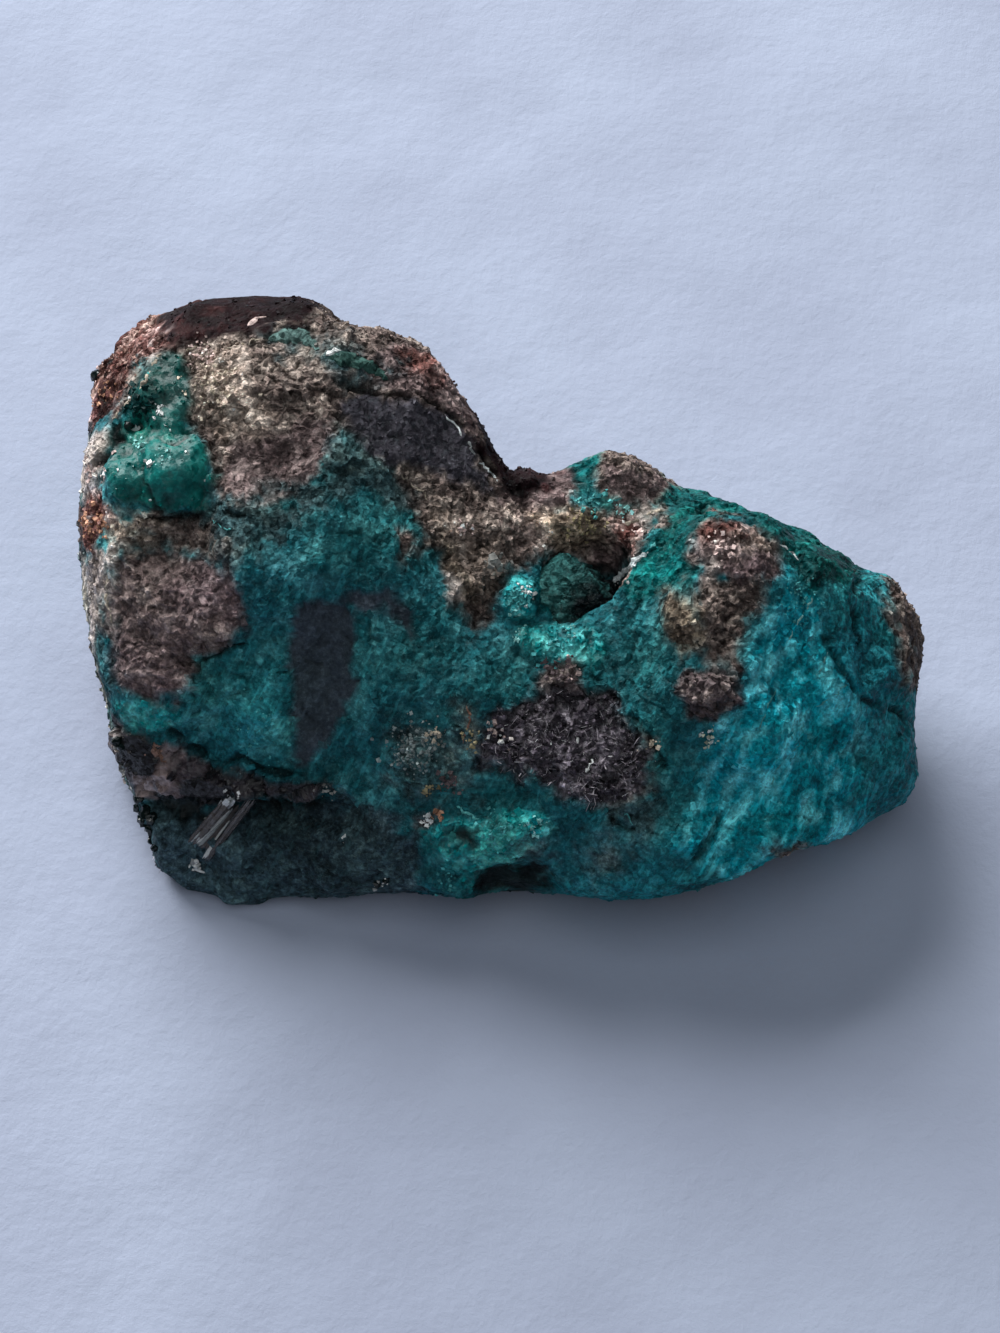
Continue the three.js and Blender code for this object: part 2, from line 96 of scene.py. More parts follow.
MINERALS = {name: Mineral(*(srgb(*colour) for colour in row[:3]), *row[3:]) for name, row in {
    "teal": ((13, 48, 54), (26, 93, 100), (78, 150, 154), 0.60, 0.62, 0.04, 0.12, 0.0, 0.0, 12),
    "deep": ((8, 54, 62), (26, 111, 120), (64, 160, 166), 0.56, 0.80, 0.08, 0.26, 0.0, 0.0, 7),
    "turquoise": ((2, 84, 94), (4, 142, 156), (112, 216, 224), 0.56, 0.70, 0.16, 0.36, 0.0, 0.1, 14),
    "bright": ((0, 74, 80), (10, 134, 136), (104, 210, 204), 0.50, 0.7, 0.2, 0.5, 0.15, 0.3, 5),
    "emerald": ((0, 34, 37), (0, 72, 73), (18, 126, 120), 0.55, 0.70, 0.15, 0.45, 0.0, 0.0, 6),
    "matrix": ((56, 47, 44), (106, 93, 88), (190, 176, 164), 0.82, 1.0, 0.30, 0.60, 0.35, 0.0, 9),
    "olive": ((64, 56, 48), (114, 101, 88), (186, 170, 146), 0.75, 0.9, 0.35, 0.6, 0.5, 0.2, 9),
    "brown": ((66, 54, 54), (112, 96, 95), (168, 151, 147), 0.80, 0.8, 0.2, 0.35, 0.2, -0.1, 7),
    "sugar": ((108, 94, 84), (168, 151, 139), (236, 224, 211), 0.75, 1.0, 0.3, 0.45, 0.40, 0.1, 14),
    "pale": ((124, 112, 106), (178, 167, 160), (224, 216, 210), 0.70, 0.8, 0.3, 0.6, 0.2, 0.1, 7),
    "rust": ((44, 24, 23), (120, 80, 74), (232, 200, 190), 0.75, 1.0, 0.4, 0.7, 0.3, 0.0, 9),
    "dusk": ((34, 50, 54), (57, 84, 88), (112, 134, 130), 0.65, 0.9, 0.15, 0.40, 0.15, 0.0, 16),
    "slab": ((43, 41, 47), (60, 58, 65), (94, 92, 99), 0.70, 0.6, 0.04, 0.09, 0.06, -0.15, 6),
    "slate": ((50, 58, 65), (62, 72, 81), (90, 102, 110), 0.70, 0.45, 0.08, 0.14, 0.05, -0.15, 5),
    "jewel": ((0, 40, 42), (0, 88, 83), (24, 134, 120), 0.40, 0.35, 0.15, 0.40, 0.0, 0.1, 6),
    "wine": ((12, 5, 7), (30, 16, 19), (88, 54, 53), 0.80, 0.35, 0.12, 0.16, 0.0, 0.0, 7),
    "ledge": ((20, 18, 22), (62, 55, 60), (166, 146, 142), 0.30, 0.4, 0.4, 1.3, 0.0, 0.1, 6),
    "crumb": ((38, 30, 32), (86, 74, 74), (176, 162, 152), 0.65, 1.0, 0.3, 0.6, 0.7, 0.1, 6),
    "druse": ((26, 22, 29), (66, 60, 68), (160, 152, 160), 0.35, 1.0, 0.2, 0.4, 0.45, -0.25, 8),
    "dark": ((34, 50, 57), (60, 82, 91), (104, 134, 140), 0.55, 0.85, 0.12, 0.26, 0.0, -0.2, 9),
    # The shadow row is painted shadow, a dark sheet where there is only shade.
    "shadow": ((8, 14, 16), (18, 30, 32), (40, 50, 50), 0.50, 0.4, 0.3, 0.4, 0.0, -0.4, 8),
}.items()}
GLASSY = "jewel"
RAGGED_EDGE = 11.0  # a border of this edge wanders by the full lengths below, and a narrower one by less
WANDER, GRAIN_WANDER, FINE_WANDER = 13.0, 8.0, 7.0  # pixels, with soft bumps, with grains and finely
SHEENS = {"stone_minerals": 0.08, "shiny_minerals": 0.35, "green_glass": 0.30}  # how strongly each mirrors
SHINY = {"jewel": "green_glass", **dict.fromkeys(["ledge", "druse", "bright", "crumb"], "shiny_minerals")}
# How strongly the pale drawn-out flecks show in each mineral that has them.
STREAKED = {"teal": 1.0, "deep": 1.2, "turquoise": 1.1, "bright": 0.7, "emerald": 0.8, "dark": 0.5,
            "slab": 0.2}
# Where minerals overlap, a later one lies over an earlier one. The first lies under them all.
UNDERMOST, *ORDER = MINERALS

# How light each mineral is on the whole, from 0 to 1, and how strongly that follows each pattern.
PLATY = (0.5, dict(broad=0.05, patchy=0.08, fine=0.16, flakes=0.28, small_flakes=0.30, wisps=0.35))
SANDY = (0.5, dict(broad=0.08, patchy=0.16, fine=0.26, grains=0.34, gaps=0.16, wisps=0.3))
DULL = (0.5, dict(broad=0.08, patchy=0.16, fine=0.26, flakes=0.10, small_flakes=0.16, wisps=0.3))
SMOOTH = (0.5, dict(patchy=0.06, fine=0.14, streaks=0.10))
TONES = {
    **dict.fromkeys(["teal", "deep", "emerald"], PLATY),
    **dict.fromkeys(["matrix", "olive", "brown", "sugar", "pale", "crumb", "druse"], SANDY),
    **dict.fromkeys(["dusk", "shadow"], DULL),
    **dict.fromkeys(["slab", "slate"], SMOOTH),
    "turquoise": (0.5, dict(patchy=0.08, fine=0.12, streaks=0.62, wisps=0.2)),
    "bright": (0.5, dict(broad=0.08, patchy=0.16, fine=0.60, small_flakes=0.3, wisps=0.3)),
    "rust": (0.45, dict(broad=0.104, patchy=0.608, fine=0.338, grains=0.442, gaps=0.208, wisps=0.39)),
    # The jewel is lighter on its beads and darker between them: painted shade.
    "jewel": (0.36, dict(patchy=0.2, fine=0.2, beads=0.2)),
    "wine": (0.42, dict(broad=0.3, patchy=0.4, fine=0.1)),
    "ledge": (0.36, dict(fine=0.10, flakes=1.0, small_flakes=0.3)),
    "dark": (0.45, dict(patchy=0.12, fine=0.3, small_flakes=0.3, wisps=0.5)),
}

# ---- Where each mineral shows: outlines in photograph pixels, (right, down) ----
REGIONS = {
    "deep": [
        [(822, 578), (850, 530), (900, 530), (980, 600), (990, 780), (960, 860), (880, 860), (862, 826),
         (850, 790), (860, 740), (852, 694), (826, 640)],
        [(560, 880), (600, 870), (660, 866), (700, 870), (700, 930), (600, 950), (545, 930)],
    ],
    "turquoise": [
        [(786, 566), (808, 590), (826, 640), (852, 694), (862, 750), (856, 800), (870, 870), (820, 900),
         (760, 900), (706, 872), (676, 846), (700, 780), (716, 720), (744, 690), (752, 650), (772, 600)],
    ],
    "bright": [
        [(512, 628), (545, 622), (582, 630), (606, 646), (600, 662), (566, 664), (520, 654)],
        [(504, 578), (520, 572), (531, 586), (530, 620), (514, 624), (504, 604)],
        [(417, 829), (444, 818), (481, 821), (517, 813), (540, 816), (552, 826), (540, 843), (528, 851),
         (516, 862), (489, 868), (475, 876), (469, 887), (454, 884), (448, 862), (428, 846)],
        [(600, 496), (628, 490), (640, 500), (626, 512), (606, 514)],
        [(112, 702), (140, 698), (172, 708), (176, 728), (150, 734), (122, 726)],
    ],
    "emerald": [
        [(640, 490), (680, 420), (760, 440), (860, 490), (900, 560), (862, 572), (848, 584), (815, 590),
         (792, 572), (776, 548), (758, 526), (734, 516), (706, 522), (692, 545), (694, 570), (686, 590),
         (660, 600), (630, 604), (614, 588), (640, 556), (664, 530), (668, 510)],
        [(556, 478), (572, 430), (606, 425), (608, 462), (598, 496), (572, 500)],
        [(545, 562), (572, 560), (588, 580), (584, 612), (560, 622), (536, 618), (532, 590)],
        [(60, 360), (100, 362), (106, 380), (60, 392)],
    ],
    "matrix": [
        [(150, 340), (200, 312), (262, 308), (300, 290), (310, 250), (380, 270), (450, 300), (500, 370),
         (560, 440), (560, 470), (560, 505), (600, 512), (640, 506), (668, 512), (640, 545), (612, 575),
         (585, 566), (560, 556), (535, 562), (510, 575), (500, 612), (478, 628), (456, 606), (436, 560),
         (405, 512), (380, 470), (362, 438), (344, 430), (328, 470), (309, 486), (265, 500), (236, 520),
         (216, 506), (206, 456), (192, 420), (190, 385)],
        [(150, 506), (205, 510), (240, 522), (246, 545), (226, 566), (200, 556), (160, 548), (146, 530)],
        [(596, 470), (606, 430), (660, 430), (700, 480), (668, 482), (650, 500), (612, 506), (590, 484)],
        [(704, 575), (766, 572), (766, 606), (744, 632), (736, 668), (704, 666), (700, 630), (684, 606)],
        [(886, 590), (900, 540), (990, 600), (990, 720), (930, 700), (906, 684), (900, 640), (888, 615)],
        [(770, 846), (800, 840), (820, 880), (780, 890)],
        [(396, 536), (414, 532), (420, 552), (404, 562)],
        [(600, 800), (640, 770), (656, 740), (640, 730), (650, 790), (620, 812)],
    ],
    "olive": [
        [(528, 512), (560, 506), (602, 514), (604, 540), (580, 554), (548, 544)],
        [(664, 598), (684, 592), (700, 610), (698, 650), (680, 658), (664, 640)],
        [(436, 520), (466, 540), (476, 600), (458, 604), (440, 560)],
        [(460, 707), (472, 705), (476, 740), (464, 758)],
    ],
    "brown": [
        [(116, 556), (160, 543), (200, 552), (226, 572), (247, 610), (244, 634), (226, 646), (196, 660),
         (190, 690), (150, 702), (120, 694), (107, 662), (104, 622), (108, 580)],
        [(232, 448), (292, 424), (330, 420), (330, 466), (309, 490), (275, 502), (240, 508), (222, 486)],
        [(396, 404), (440, 404), (456, 430), (450, 462), (420, 470), (396, 440)],
        [(606, 470), (640, 462), (666, 480), (644, 506), (612, 504)],
        [(689, 540), (716, 524), (756, 524), (781, 548), (778, 575), (740, 580), (700, 574)],
        [(590, 544), (628, 546), (620, 580), (596, 584)],
        [(400, 738), (416, 730), (436, 733), (446, 750), (438, 774), (420, 780), (404, 768)],
        [(500, 450), (560, 440), (574, 500), (545, 508), (510, 500)],
        [(352, 370), (392, 340), (450, 350), (500, 420), (480, 440), (440, 402), (392, 390)],
    ],
    "sugar": [
        [(184, 350), (222, 345), (244, 362), (262, 392), (276, 420), (250, 440), (226, 436), (206, 414),
         (196, 384)],
        [(424, 500), (450, 510), (484, 540), (504, 566), (490, 590), (462, 560), (436, 530)],
        [(100, 514), (140, 508), (172, 526), (150, 545), (110, 550)],
        [(720, 536), (748, 530), (768, 548), (740, 556)],
    ],
    "pale": [
        [(50, 434), (106, 430), (104, 470), (98, 500), (50, 500)],
        [(50, 560), (98, 550), (116, 544), (118, 560), (106, 600), (102, 640), (60, 640)],
        [(148, 356), (164, 344), (160, 356), (132, 392), (114, 418), (108, 414), (128, 384)],
        [(624, 512), (644, 507), (664, 512), (650, 524), (628, 530)],
        [(700, 562), (712, 552), (718, 566), (706, 578)],
        [(444, 578), (460, 576), (464, 598), (450, 604)],
    ],
    "rust": [
        [(40, 376), (60, 320), (120, 260), (170, 250), (186, 326), (166, 348), (146, 362), (126, 394),
         (108, 420), (40, 434)],
        [(40, 500), (104, 496), (114, 520), (98, 544), (40, 544)],
        [(704, 524), (736, 522), (750, 534), (722, 546), (704, 542)],
        [(546, 664), (572, 664), (582, 688), (560, 694), (544, 690)],
        [(416, 826), (428, 816), (442, 812), (438, 822), (424, 830)],
        [(612, 520), (640, 522), (640, 536), (620, 544)],
        [(149, 741), (166, 744), (184, 768), (170, 770), (152, 756)],
        [(424, 784), (438, 782), (438, 794), (426, 794)],
        [(400, 346), (430, 360), (450, 384), (430, 380), (404, 362)],
    ],
    "dusk": [
        [(196, 504), (240, 502), (290, 494), (328, 472), (342, 434), (362, 436), (392, 468), (418, 500),
         (404, 510), (372, 488), (340, 500), (300, 520), (262, 540), (236, 560), (214, 540)],
        [(50, 636), (100, 640), (106, 700), (50, 700)],
        [(265, 334), (290, 328), (312, 334), (320, 350), (290, 346)],
        [(325, 352), (342, 350), (386, 372), (384, 380), (350, 378), (330, 368)],
        [(600, 800), (640, 793), (660, 802), (654, 818), (636, 822), (612, 812)],
        [(386, 730), (414, 724), (440, 730), (462, 706), (474, 706), (472, 760), (464, 798), (440, 800),
         (414, 800), (390, 782)],
        [(583, 856), (600, 846), (630, 850), (622, 872), (592, 882)],
        [(525, 846), (545, 844), (548, 862), (528, 864)],
    ],
    "slab": [
        [(344, 400), (378, 392), (404, 396), (440, 404), (458, 420), (476, 450), (492, 476), (500, 492),
         (470, 484), (440, 480), (410, 470), (384, 462), (362, 440), (350, 424)],
    ],
    "slate": [
        [(298, 612), (318, 596), (350, 604), (354, 640), (350, 680), (346, 716), (332, 746), (308, 760),
         (290, 750), (294, 700), (290, 650)],
        [(318, 598), (356, 594), (384, 596), (406, 610), (412, 630), (400, 624), (384, 610), (356, 608)],
    ],
    "jewel": [
        [(108, 436), (126, 420), (134, 396), (150, 366), (166, 350), (188, 366), (192, 400), (190, 430),
         (206, 452), (212, 482), (204, 506), (180, 514), (150, 506), (120, 506), (104, 482)],
    ],
    "wine": [
        [(158, 324), (166, 250), (250, 230), (330, 240), (324, 308), (302, 322), (262, 331), (226, 336),
         (200, 346), (172, 348)],
        [(466, 404), (500, 400), (560, 480), (530, 500), (500, 482), (480, 448)],
    ],
    "ledge": [
        [(60, 712), (112, 722), (146, 730), (176, 748), (210, 764), (262, 776), (322, 780), (330, 792),
         (300, 800), (250, 798), (232, 802), (196, 812), (170, 808), (150, 800), (60, 796)],
    ],
    "crumb": [
        [(676, 690), (690, 672), (714, 668), (738, 676), (736, 704), (714, 722), (688, 718)],
        [(545, 668), (560, 660), (580, 680), (600, 700), (560, 706), (540, 690)],
    ],
    "druse": [
        [(472, 748), (492, 723), (511, 704), (540, 692), (560, 690), (584, 688), (611, 695), (632, 726),
         (650, 760), (644, 790), (594, 808), (556, 798), (528, 782), (492, 770), (475, 764)],
    ],
    "dark": [
        [(90, 800), (130, 796), (160, 798), (200, 808), (250, 800), (345, 796), (392, 806), (416, 840),
         (424, 930), (330, 950), (214, 960), (90, 930)],
    ],
    # Painted shadow under the ledge, in the cave below the crust, and in the gaps and pit beside the jewel
    # and the dome.
    "shadow": [
        [(150, 802), (200, 812), (236, 806), (262, 800), (330, 796), (330, 806), (262, 812), (200, 824),
         (160, 812)],
        [(475, 876), (500, 868), (530, 858), (548, 862), (550, 890), (520, 902), (478, 900)],
        [(97, 462), (106, 448), (110, 434), (118, 428), (122, 440), (112, 452), (108, 468), (98, 474)],
        [(447, 831), (460, 827), (472, 832), (470, 842), (450, 842)],
        [(596, 566), (622, 560), (620, 586), (600, 592)],
    ],
}

# ---- Thin marks on the show side ----
# Colour, half width in mm and path in photograph pixels. They stand proud as thin ribs.
Mark = namedtuple("Mark", "colour width path")
MINT = srgb(150, 214, 210)
CREAM = srgb(196, 184, 166)
GLEAM = srgb(222, 230, 230)
AQUA = srgb(92, 174, 174)
TAN = srgb(156, 120, 104)
PINK = srgb(214, 190, 184)
ORANGE = srgb(188, 142, 116)
WHITE = srgb(232, 236, 234)
FLAKE = srgb(50, 82, 76)
SAGE = srgb(84, 112, 108)
VEINS = [Mark(*row) for row in [
    (GLEAM, 0.14, [(446, 417), (456, 424), (470, 445), (480, 462), (500, 484)]),
    (CREAM, 0.20, [(112, 418), (128, 402), (140, 388), (150, 370), (160, 352)]),
    (GLEAM, 0.30, [(614, 582), (622, 574), (634, 562), (649, 551)]),
    (AQUA, 0.18, [(650, 548), (658, 540), (664, 534)]),
    (GLEAM, 0.16, [(780, 545), (792, 552), (800, 562)]),
    (CREAM, 0.22, [(626, 526), (640, 518), (652, 512), (666, 509)]),
    (CREAM, 0.16, [(108, 572), (106, 600), (112, 624)]),
    (TAN, 0.18, [(152, 742), (158, 752), (164, 762), (178, 768)]),
    (TAN, 0.14, [(466, 706), (470, 720), (464, 738), (464, 757)]),
    (PINK, 0.32, [(248, 326), (253, 321), (259, 318), (268, 316)]),
    (FLAKE, 0.75, [(329, 359), (345, 359), (360, 364), (374, 371), (388, 378)]),
    (SAGE, 0.80, [(268, 341), (280, 337), (296, 336), (308, 341), (318, 350)]),
    (WHITE, 0.30, [(327, 354), (334, 351), (343, 350)]),
    (WHITE, 0.17, [(595, 758), (590, 765), (585, 774)]),
    (WHITE, 0.13, [(579, 736), (576, 742), (573, 748)]),
    # The next mark is a painted glint.
    (WHITE, 0.12, [(344, 834), (343, 839), (342, 845)]),
    (CREAM, 0.12, [(184, 352), (200, 345), (222, 344), (226, 349), (244, 345), (262, 338)]),
    (AQUA, 0.14, [(456, 806), (468, 814), (480, 821)]),
    (MINT, 0.10, [(813, 596), (806, 612), (796, 626), (788, 642)]),
    (MINT, 0.08, [(828, 652), (822, 666), (818, 678)]),
    (AQUA, 0.09, [(848, 684), (832, 696), (820, 704), (808, 713)]),
    (AQUA, 0.09, [(776, 690), (768, 706), (762, 722), (752, 738)]),
    (AQUA, 0.08, [(800, 742), (790, 756), (776, 772), (770, 788)]),
    (AQUA, 0.12, [(622, 812), (632, 824), (644, 831)]),
    (AQUA, 0.11, [(572, 500), (590, 498), (604, 502), (622, 498)]),
    (AQUA, 0.10, [(212, 520), (226, 530), (240, 528)]),
    (CREAM, 0.09, [(396, 470), (410, 484), (424, 492), (430, 506)]),
    (CREAM, 0.09, [(200, 390), (212, 378), (230, 372), (250, 374)]),
]]
# The cracks cut in: half width in mm and path in photograph pixels.
CRACKS = [
    (0.10, [(703, 500), (700, 520), (706, 540)]),
    (0.14, [(858, 580), (852, 612), (862, 640)]),
    (0.18, [(826, 640), (842, 668), (856, 694), (884, 708), (915, 722)]),
    (0.10, [(614, 818), (632, 832), (660, 836)]),
    (0.22, [(719, 812), (712, 832), (694, 857)]),
    (0.08, [(340, 386), (376, 392)]),
    (0.10, [(372, 394), (420, 392), (452, 412), (472, 440), (496, 470)]),
    (0.12, [(122, 516), (160, 518), (204, 514), (240, 516), (300, 504)]),
    (0.08, [(112, 440), (130, 447), (150, 440), (172, 445), (194, 438)]),
    (0.06, [(148, 466), (152, 484), (158, 506)]),
    (0.20, [(176, 738), (220, 758), (300, 772)]),
    (0.04, [(246, 640), (200, 664), (194, 700)]),
    (0.08, [(580, 668), (600, 690), (640, 720), (664, 770)]),
]
CRACK_DEPTH = 0.45  # mm
CRACK_EDGES = (0.35, -0.05)  # mm from its half width where a crack begins, and where it is whole
CRACK_WOBBLE = 4.0  # pixels
CREASE_SHARE = 0.42  # how deep the fine creases are, of a crack's depth
CRACK_SHADE = -0.8  # the painted shade in a crack or crease: how much lighter it is

# Broad lights and darks on the show side: place and radius in photograph pixels, and how much lighter.
# They are partly painted light and shade, and partly the minerals' own lighter and darker patches.
PAINTED_LIGHT_AND_SHADE = [
    ((812, 700), 40, 0.20), ((770, 790), 40, 0.10), ((560, 645), 45, 0.05), ((270, 560), 70, 0.02),
    ((265, 700), 34, 0.36), ((250, 735), 40, 0.34), ((360, 570), 40, -0.12), ((450, 690), 60, -0.08),
    ((606, 575), 14, -0.25), ((640, 700), 40, -0.10), ((620, 830), 90, 0.14), ((390, 740), 60, -0.06),
    ((300, 460), 45, -0.10), ((230, 390), 40, 0.06), ((735, 600), 30, -0.15), ((550, 528), 40, 0.50),
    ((160, 380), 34, -0.32), ((155, 470), 40, 0.18), ((350, 860), 50, -0.20), ((240, 430), 40, 0.06),
    ((290, 790), 34, -0.35), ((517, 598), 15, 0.40), ((740, 490), 50, -0.10), ((920, 645), 28, -0.30),
    ((230, 785), 40, -0.15), ((144, 784), 12, 0.30), ((428, 766), 28, 0.30), ((538, 528), 20, 0.65),
    ((455, 735), 18, 0.35), ((165, 375), 24, -0.15), ((290, 832), 34, -0.28), ((200, 325), 18, -0.30),
    ((440, 766), 15, 0.10), ((330, 842), 40, -0.20), ((410, 640), 22, -0.12), ((500, 612), 12, 0.25),
    ((592, 462), 10, 0.40), ((466, 560), 18, -0.15), ((115, 735), 14, -0.20), ((640, 850), 20, 0.15),
    ((520, 885), 20, 0.25), ((480, 560), 40, -0.10), ((660, 568), 28, 0.50), ((700, 516), 24, 0.25),
    ((832, 562), 26, -0.50), ((95, 525), 24, 0.35), ((588, 562), 16, 0.35), ((530, 826), 18, 0.35),
    ((300, 315), 24, -0.25), ((500, 840), 24, -0.10), ((350, 362), 18, -0.20), ((300, 505), 24, -0.20),
]

# Rounded lumps on the show side: place in photograph pixels, then radius and rise in mm.
LUMPS = [
    ((127, 479), 2.3, 0.7), ((186, 468), 2.6, 0.7), ((162, 478), 2.3, 0.6), ((150, 454), 1.8, 0.6),
    ((190, 494), 2.0, 0.5), ((150, 500), 1.6, 0.4), ((182, 418), 1.4, 0.4), ((150, 392), 1.3, 0.4),
    ((517, 600), 1.7, 0.6), ((340, 360), 1.3, 0.4), ((364, 370), 1.4, 0.4), ((526, 479), 1.0, 0.7),
    ((708, 695), 2.4, 0.5), ((680, 622), 2.0, 0.5), ((725, 545), 3.0, 0.4), ((460, 835), 2.4, 0.4),
    ((500, 830), 2.4, 0.4), ((565, 510), 2.6, 0.4), ((494, 566), 1.4, 0.4), ((410, 755), 2.0, 0.3),
    ((534, 645), 1.8, 0.4), ((564, 642), 2.2, 0.4), ((614, 645), 2.2, 0.4),
]
LUMPS_UNEVEN = 0.45  # how far a lump's outline wanders, of its radius
# Share of the hidden sides that each mineral covers, and how large its patches are, in mm.
HIDDEN = {
    "deep": (0.42, 16.0), "turquoise": (0.30, 12.0), "bright": (0.12, 7.0), "matrix": (0.40, 14.0),
    "sugar": (0.14, 8.0), "brown": (0.22, 12.0), "pale": (0.08, 7.0), "rust": (0.16, 10.0),
    "slab": (0.12, 13.0), "wine": (0.10, 15.0), "druse": (0.14, 9.0), "dark": (0.12, 10.0),
    "emerald": (0.14, 9.0), "olive": (0.10, 8.0),
}

# Where a patch begins and is whole: the level of its bumps and its mineral's share together.
HIDDEN_EDGE = (0.50, 0.62)
HIDDEN_SEED, SEED_STEP = 250, 7
RAGGED_PATCHES = 0.006  # how ragged a patch's border is, for each pixel that an outline wanders

# The show side's pattern is moved to and fro by so many pixels, and up and down by more on the left end and
# round the back, where it would be drawn out into stripes.
UNEVEN_PX, STRIPE_PX = 7.0, 24.0
# How far a face is turned to the left where the left end begins, and where it is whole.
LEFT_END = (0.5, 0.9)
# How far a face is turned to the camera where the back begins and is whole, and where the hidden sides' own
# pattern is whole and begins. On the left end that pattern begins sooner.
ROUND_THE_BACK = (0.0, -0.3)
LEAVES_SHOW_SIDE = (-0.45, 0.02)
LEFT_LEAVES_SOONER = 0.3

# ---- Patterns ----
# Soft bumps: size in mm, layers and seed.
BUMPS = {
    "broad": (5.0, 4, 3), "patchy": (2.2, 4, 29), "fine": (0.9, 2, 41), "hue": (7.0, 3, 47),
    "streaks": (1.0, 3, 61), "rightward": (3.2, 3, 11), "downward": (3.2, 3, 31), "stripes": (4.5, 3, 37),
    "borders": (1.8, 3, 71), "crack gaps": (2.0, 2, 83), "crack wobble": (1.8, 2, 87), "lumps": (1.8, 3, 89),
}
LAYER_SHARE = 0.55  # how strong each layer of bumps is, of the layer before
LAYERS_REACH = 1.4  # about how far all the layers reach together
# Flat faces: how far they are drawn out, then size in mm and seed.
FLAKES, SMALL_FLAKES = (0.40, 3.2, 13), (0.35, 1.5, 17)
FLAKE_TILT, FLAKE_STEP = 1.5, 0.8  # how steep they are, and how much higher one is than the next
# Rounded cells: size in mm and seed.
GRAIN_CELLS, BEAD_CELLS = (1.0, 19), (1.7, 23)
GRAIN_STEEPNESS = 1.8
BEAD_RADIUS = 0.8  # of a cell
STREAK_STRETCH = 0.86  # how far the streaks are drawn out
# How far patterns are moved to and fro: size of the bumps and reach in mm, and seed.
FLAKES_RUN, STREAKS_RUN = (3.5, 1.0, 3), (2.5, 0.6, 7)
# Winding thin lines: how far they are moved, their size, width and seed, and the levels of a broad pattern
# where they begin and are whole.
Lines = namedtuple("Lines", "run size width seed levels")
CREASES = Lines((1.5, 0.4, 9), 5.5, 0.045, 67, (-0.2, 0.3))
WISPS = Lines((1.2, 0.5, 21), 3.0, 0.050, 73, (-0.1, 0.3))

# Relief: the large flakes' share of all flakes, the levels of a grain's edge and middle, and heights in mm.
LARGE_FLAKES = 0.65
GRAIN_LEVEL = 0.6
GRAIN_MEAN = 0.7
FINE_RELIEF = 0.14
BEAD_RELIEF = 0.2
CRYSTAL_RELIEF = 0.045  # the finest unevenness, point by point
RELIEF_WHOLE = 0.8  # mm above the ground where relief is whole, so that the stone still lies flat

# Colour: how far hues wander, and how much painted shade darkens pits and painted light lightens edges. A
# hollow is found by smoothing the surface for some rounds, and is whole where that moves it by the reach, in
# mm.
HUE_WANDER = 0.06
Hollow = namedtuple("Hollow", "rounds reach shade least")
SMALL_HOLLOWS = Hollow(5, 0.14, 0.23, -0.4)
LARGE_HOLLOWS = Hollow(36, 0.60, 0.14, -0.3)
STREAKED_LESS_HOLLOW_SHADE = 0.5  # how much less painted shade and edge light the streaked minerals get
STOPS = 2.2  # halvings or doublings of light for a shade of 1


# ---- Noise over many points at once ----
CELL_PRIMES, SALT_PRIME, MIXER = (374761393, 668265263, 1440662683), 97531, 1274126177
DRAW_BITS = 10
LARGEST = 2**DRAW_BITS - 1


def cell_random(cells, salt):
    """Three numbers from 0 to 1 for each whole-numbered cell, the same each time."""
    first, second, third = (cells[:, axis] * prime for axis, prime in enumerate(CELL_PRIMES))
    mixed = first ^ second ^ third ^ (salt * SALT_PRIME)
    mixed = (mixed ^ (mixed >> 13)) * MIXER
    mixed = mixed ^ (mixed >> 16)
    return np.stack([(mixed >> DRAW_BITS * place) & LARGEST for place in range(3)], axis=1) / LARGEST


def smooth_noise(points, size, salt=0):
    """Soft bumps of about the given size, from -1 to 1."""
    place = points / size
    cell = np.floor(place).astype(np.int64)
    part = ease(0.0, 1.0, place - cell)
    total = np.zeros(len(points))
    for corner in np.ndindex(2, 2, 2):
        weight = np.prod(np.where(corner, part, 1.0 - part), axis=1)
        total += weight * cell_random(cell + corner, salt)[:, 0]
    return 2.0 * total - 1.0


def layered_noise(points, size, layers=4, salt=0):
    """Bumps within bumps, from about -1 to 1."""
    strengths = [LAYER_SHARE**layer for layer in range(layers)]
    total = sum(smooth_noise(points, size / 2**layer, salt + layer) * strength
                for layer, strength in enumerate(strengths))
    return total / LAYERS_REACH


def bumps(points, name):
    """The soft bumps of that name."""
    return layered_noise(points, *BUMPS[name])


def pushed(points, size, reach, salt=0):
    """Points moved to and fro a little, so that patterns laid on them run unevenly."""
    push = [layered_noise(points, size, 2, salt + 100 * axis) for axis in range(3)]
    return points + reach * np.stack(push, axis=1)


def drawn_out(points, share):
    """Points pressed together along the grain, so that patterns laid on them are drawn out along it."""
    return points - share * (points @ GRAIN_RUNS)[:, None] * GRAIN_RUNS


FAR = 9.0  # further than any scattered point, in sizes


def scattered_cells(points, size, salt=0):
    """How far the nearest two scattered points are, in sizes, with the first one's offset and numbers."""
    place = points / size
    cell = np.floor(place).astype(np.int64)
    nearest = second = np.full(len(points), FAR)
    offset = np.zeros_like(points)
    numbers = np.zeros_like(points)
    for step in np.ndindex(3, 3, 3):
        other = cell + np.array(step) - 1
        drawn = cell_random(other, salt)
        apart = place - other - drawn
        distance = np.linalg.norm(apart, axis=1)
        closer = distance < nearest
        second = np.where(closer, nearest, np.minimum(second, distance))
        nearest = np.where(closer, distance, nearest)
        offset[closer] = apart[closer]
        numbers[closer] = drawn[closer]
    return nearest, second, offset, numbers


def ease(low, high, value):
    """A soft step from 0 at low to 1 at high."""
    part = np.clip((value - low) / (high - low), 0.0, 1.0)
    return part * part * (3.0 - 2.0 * part)


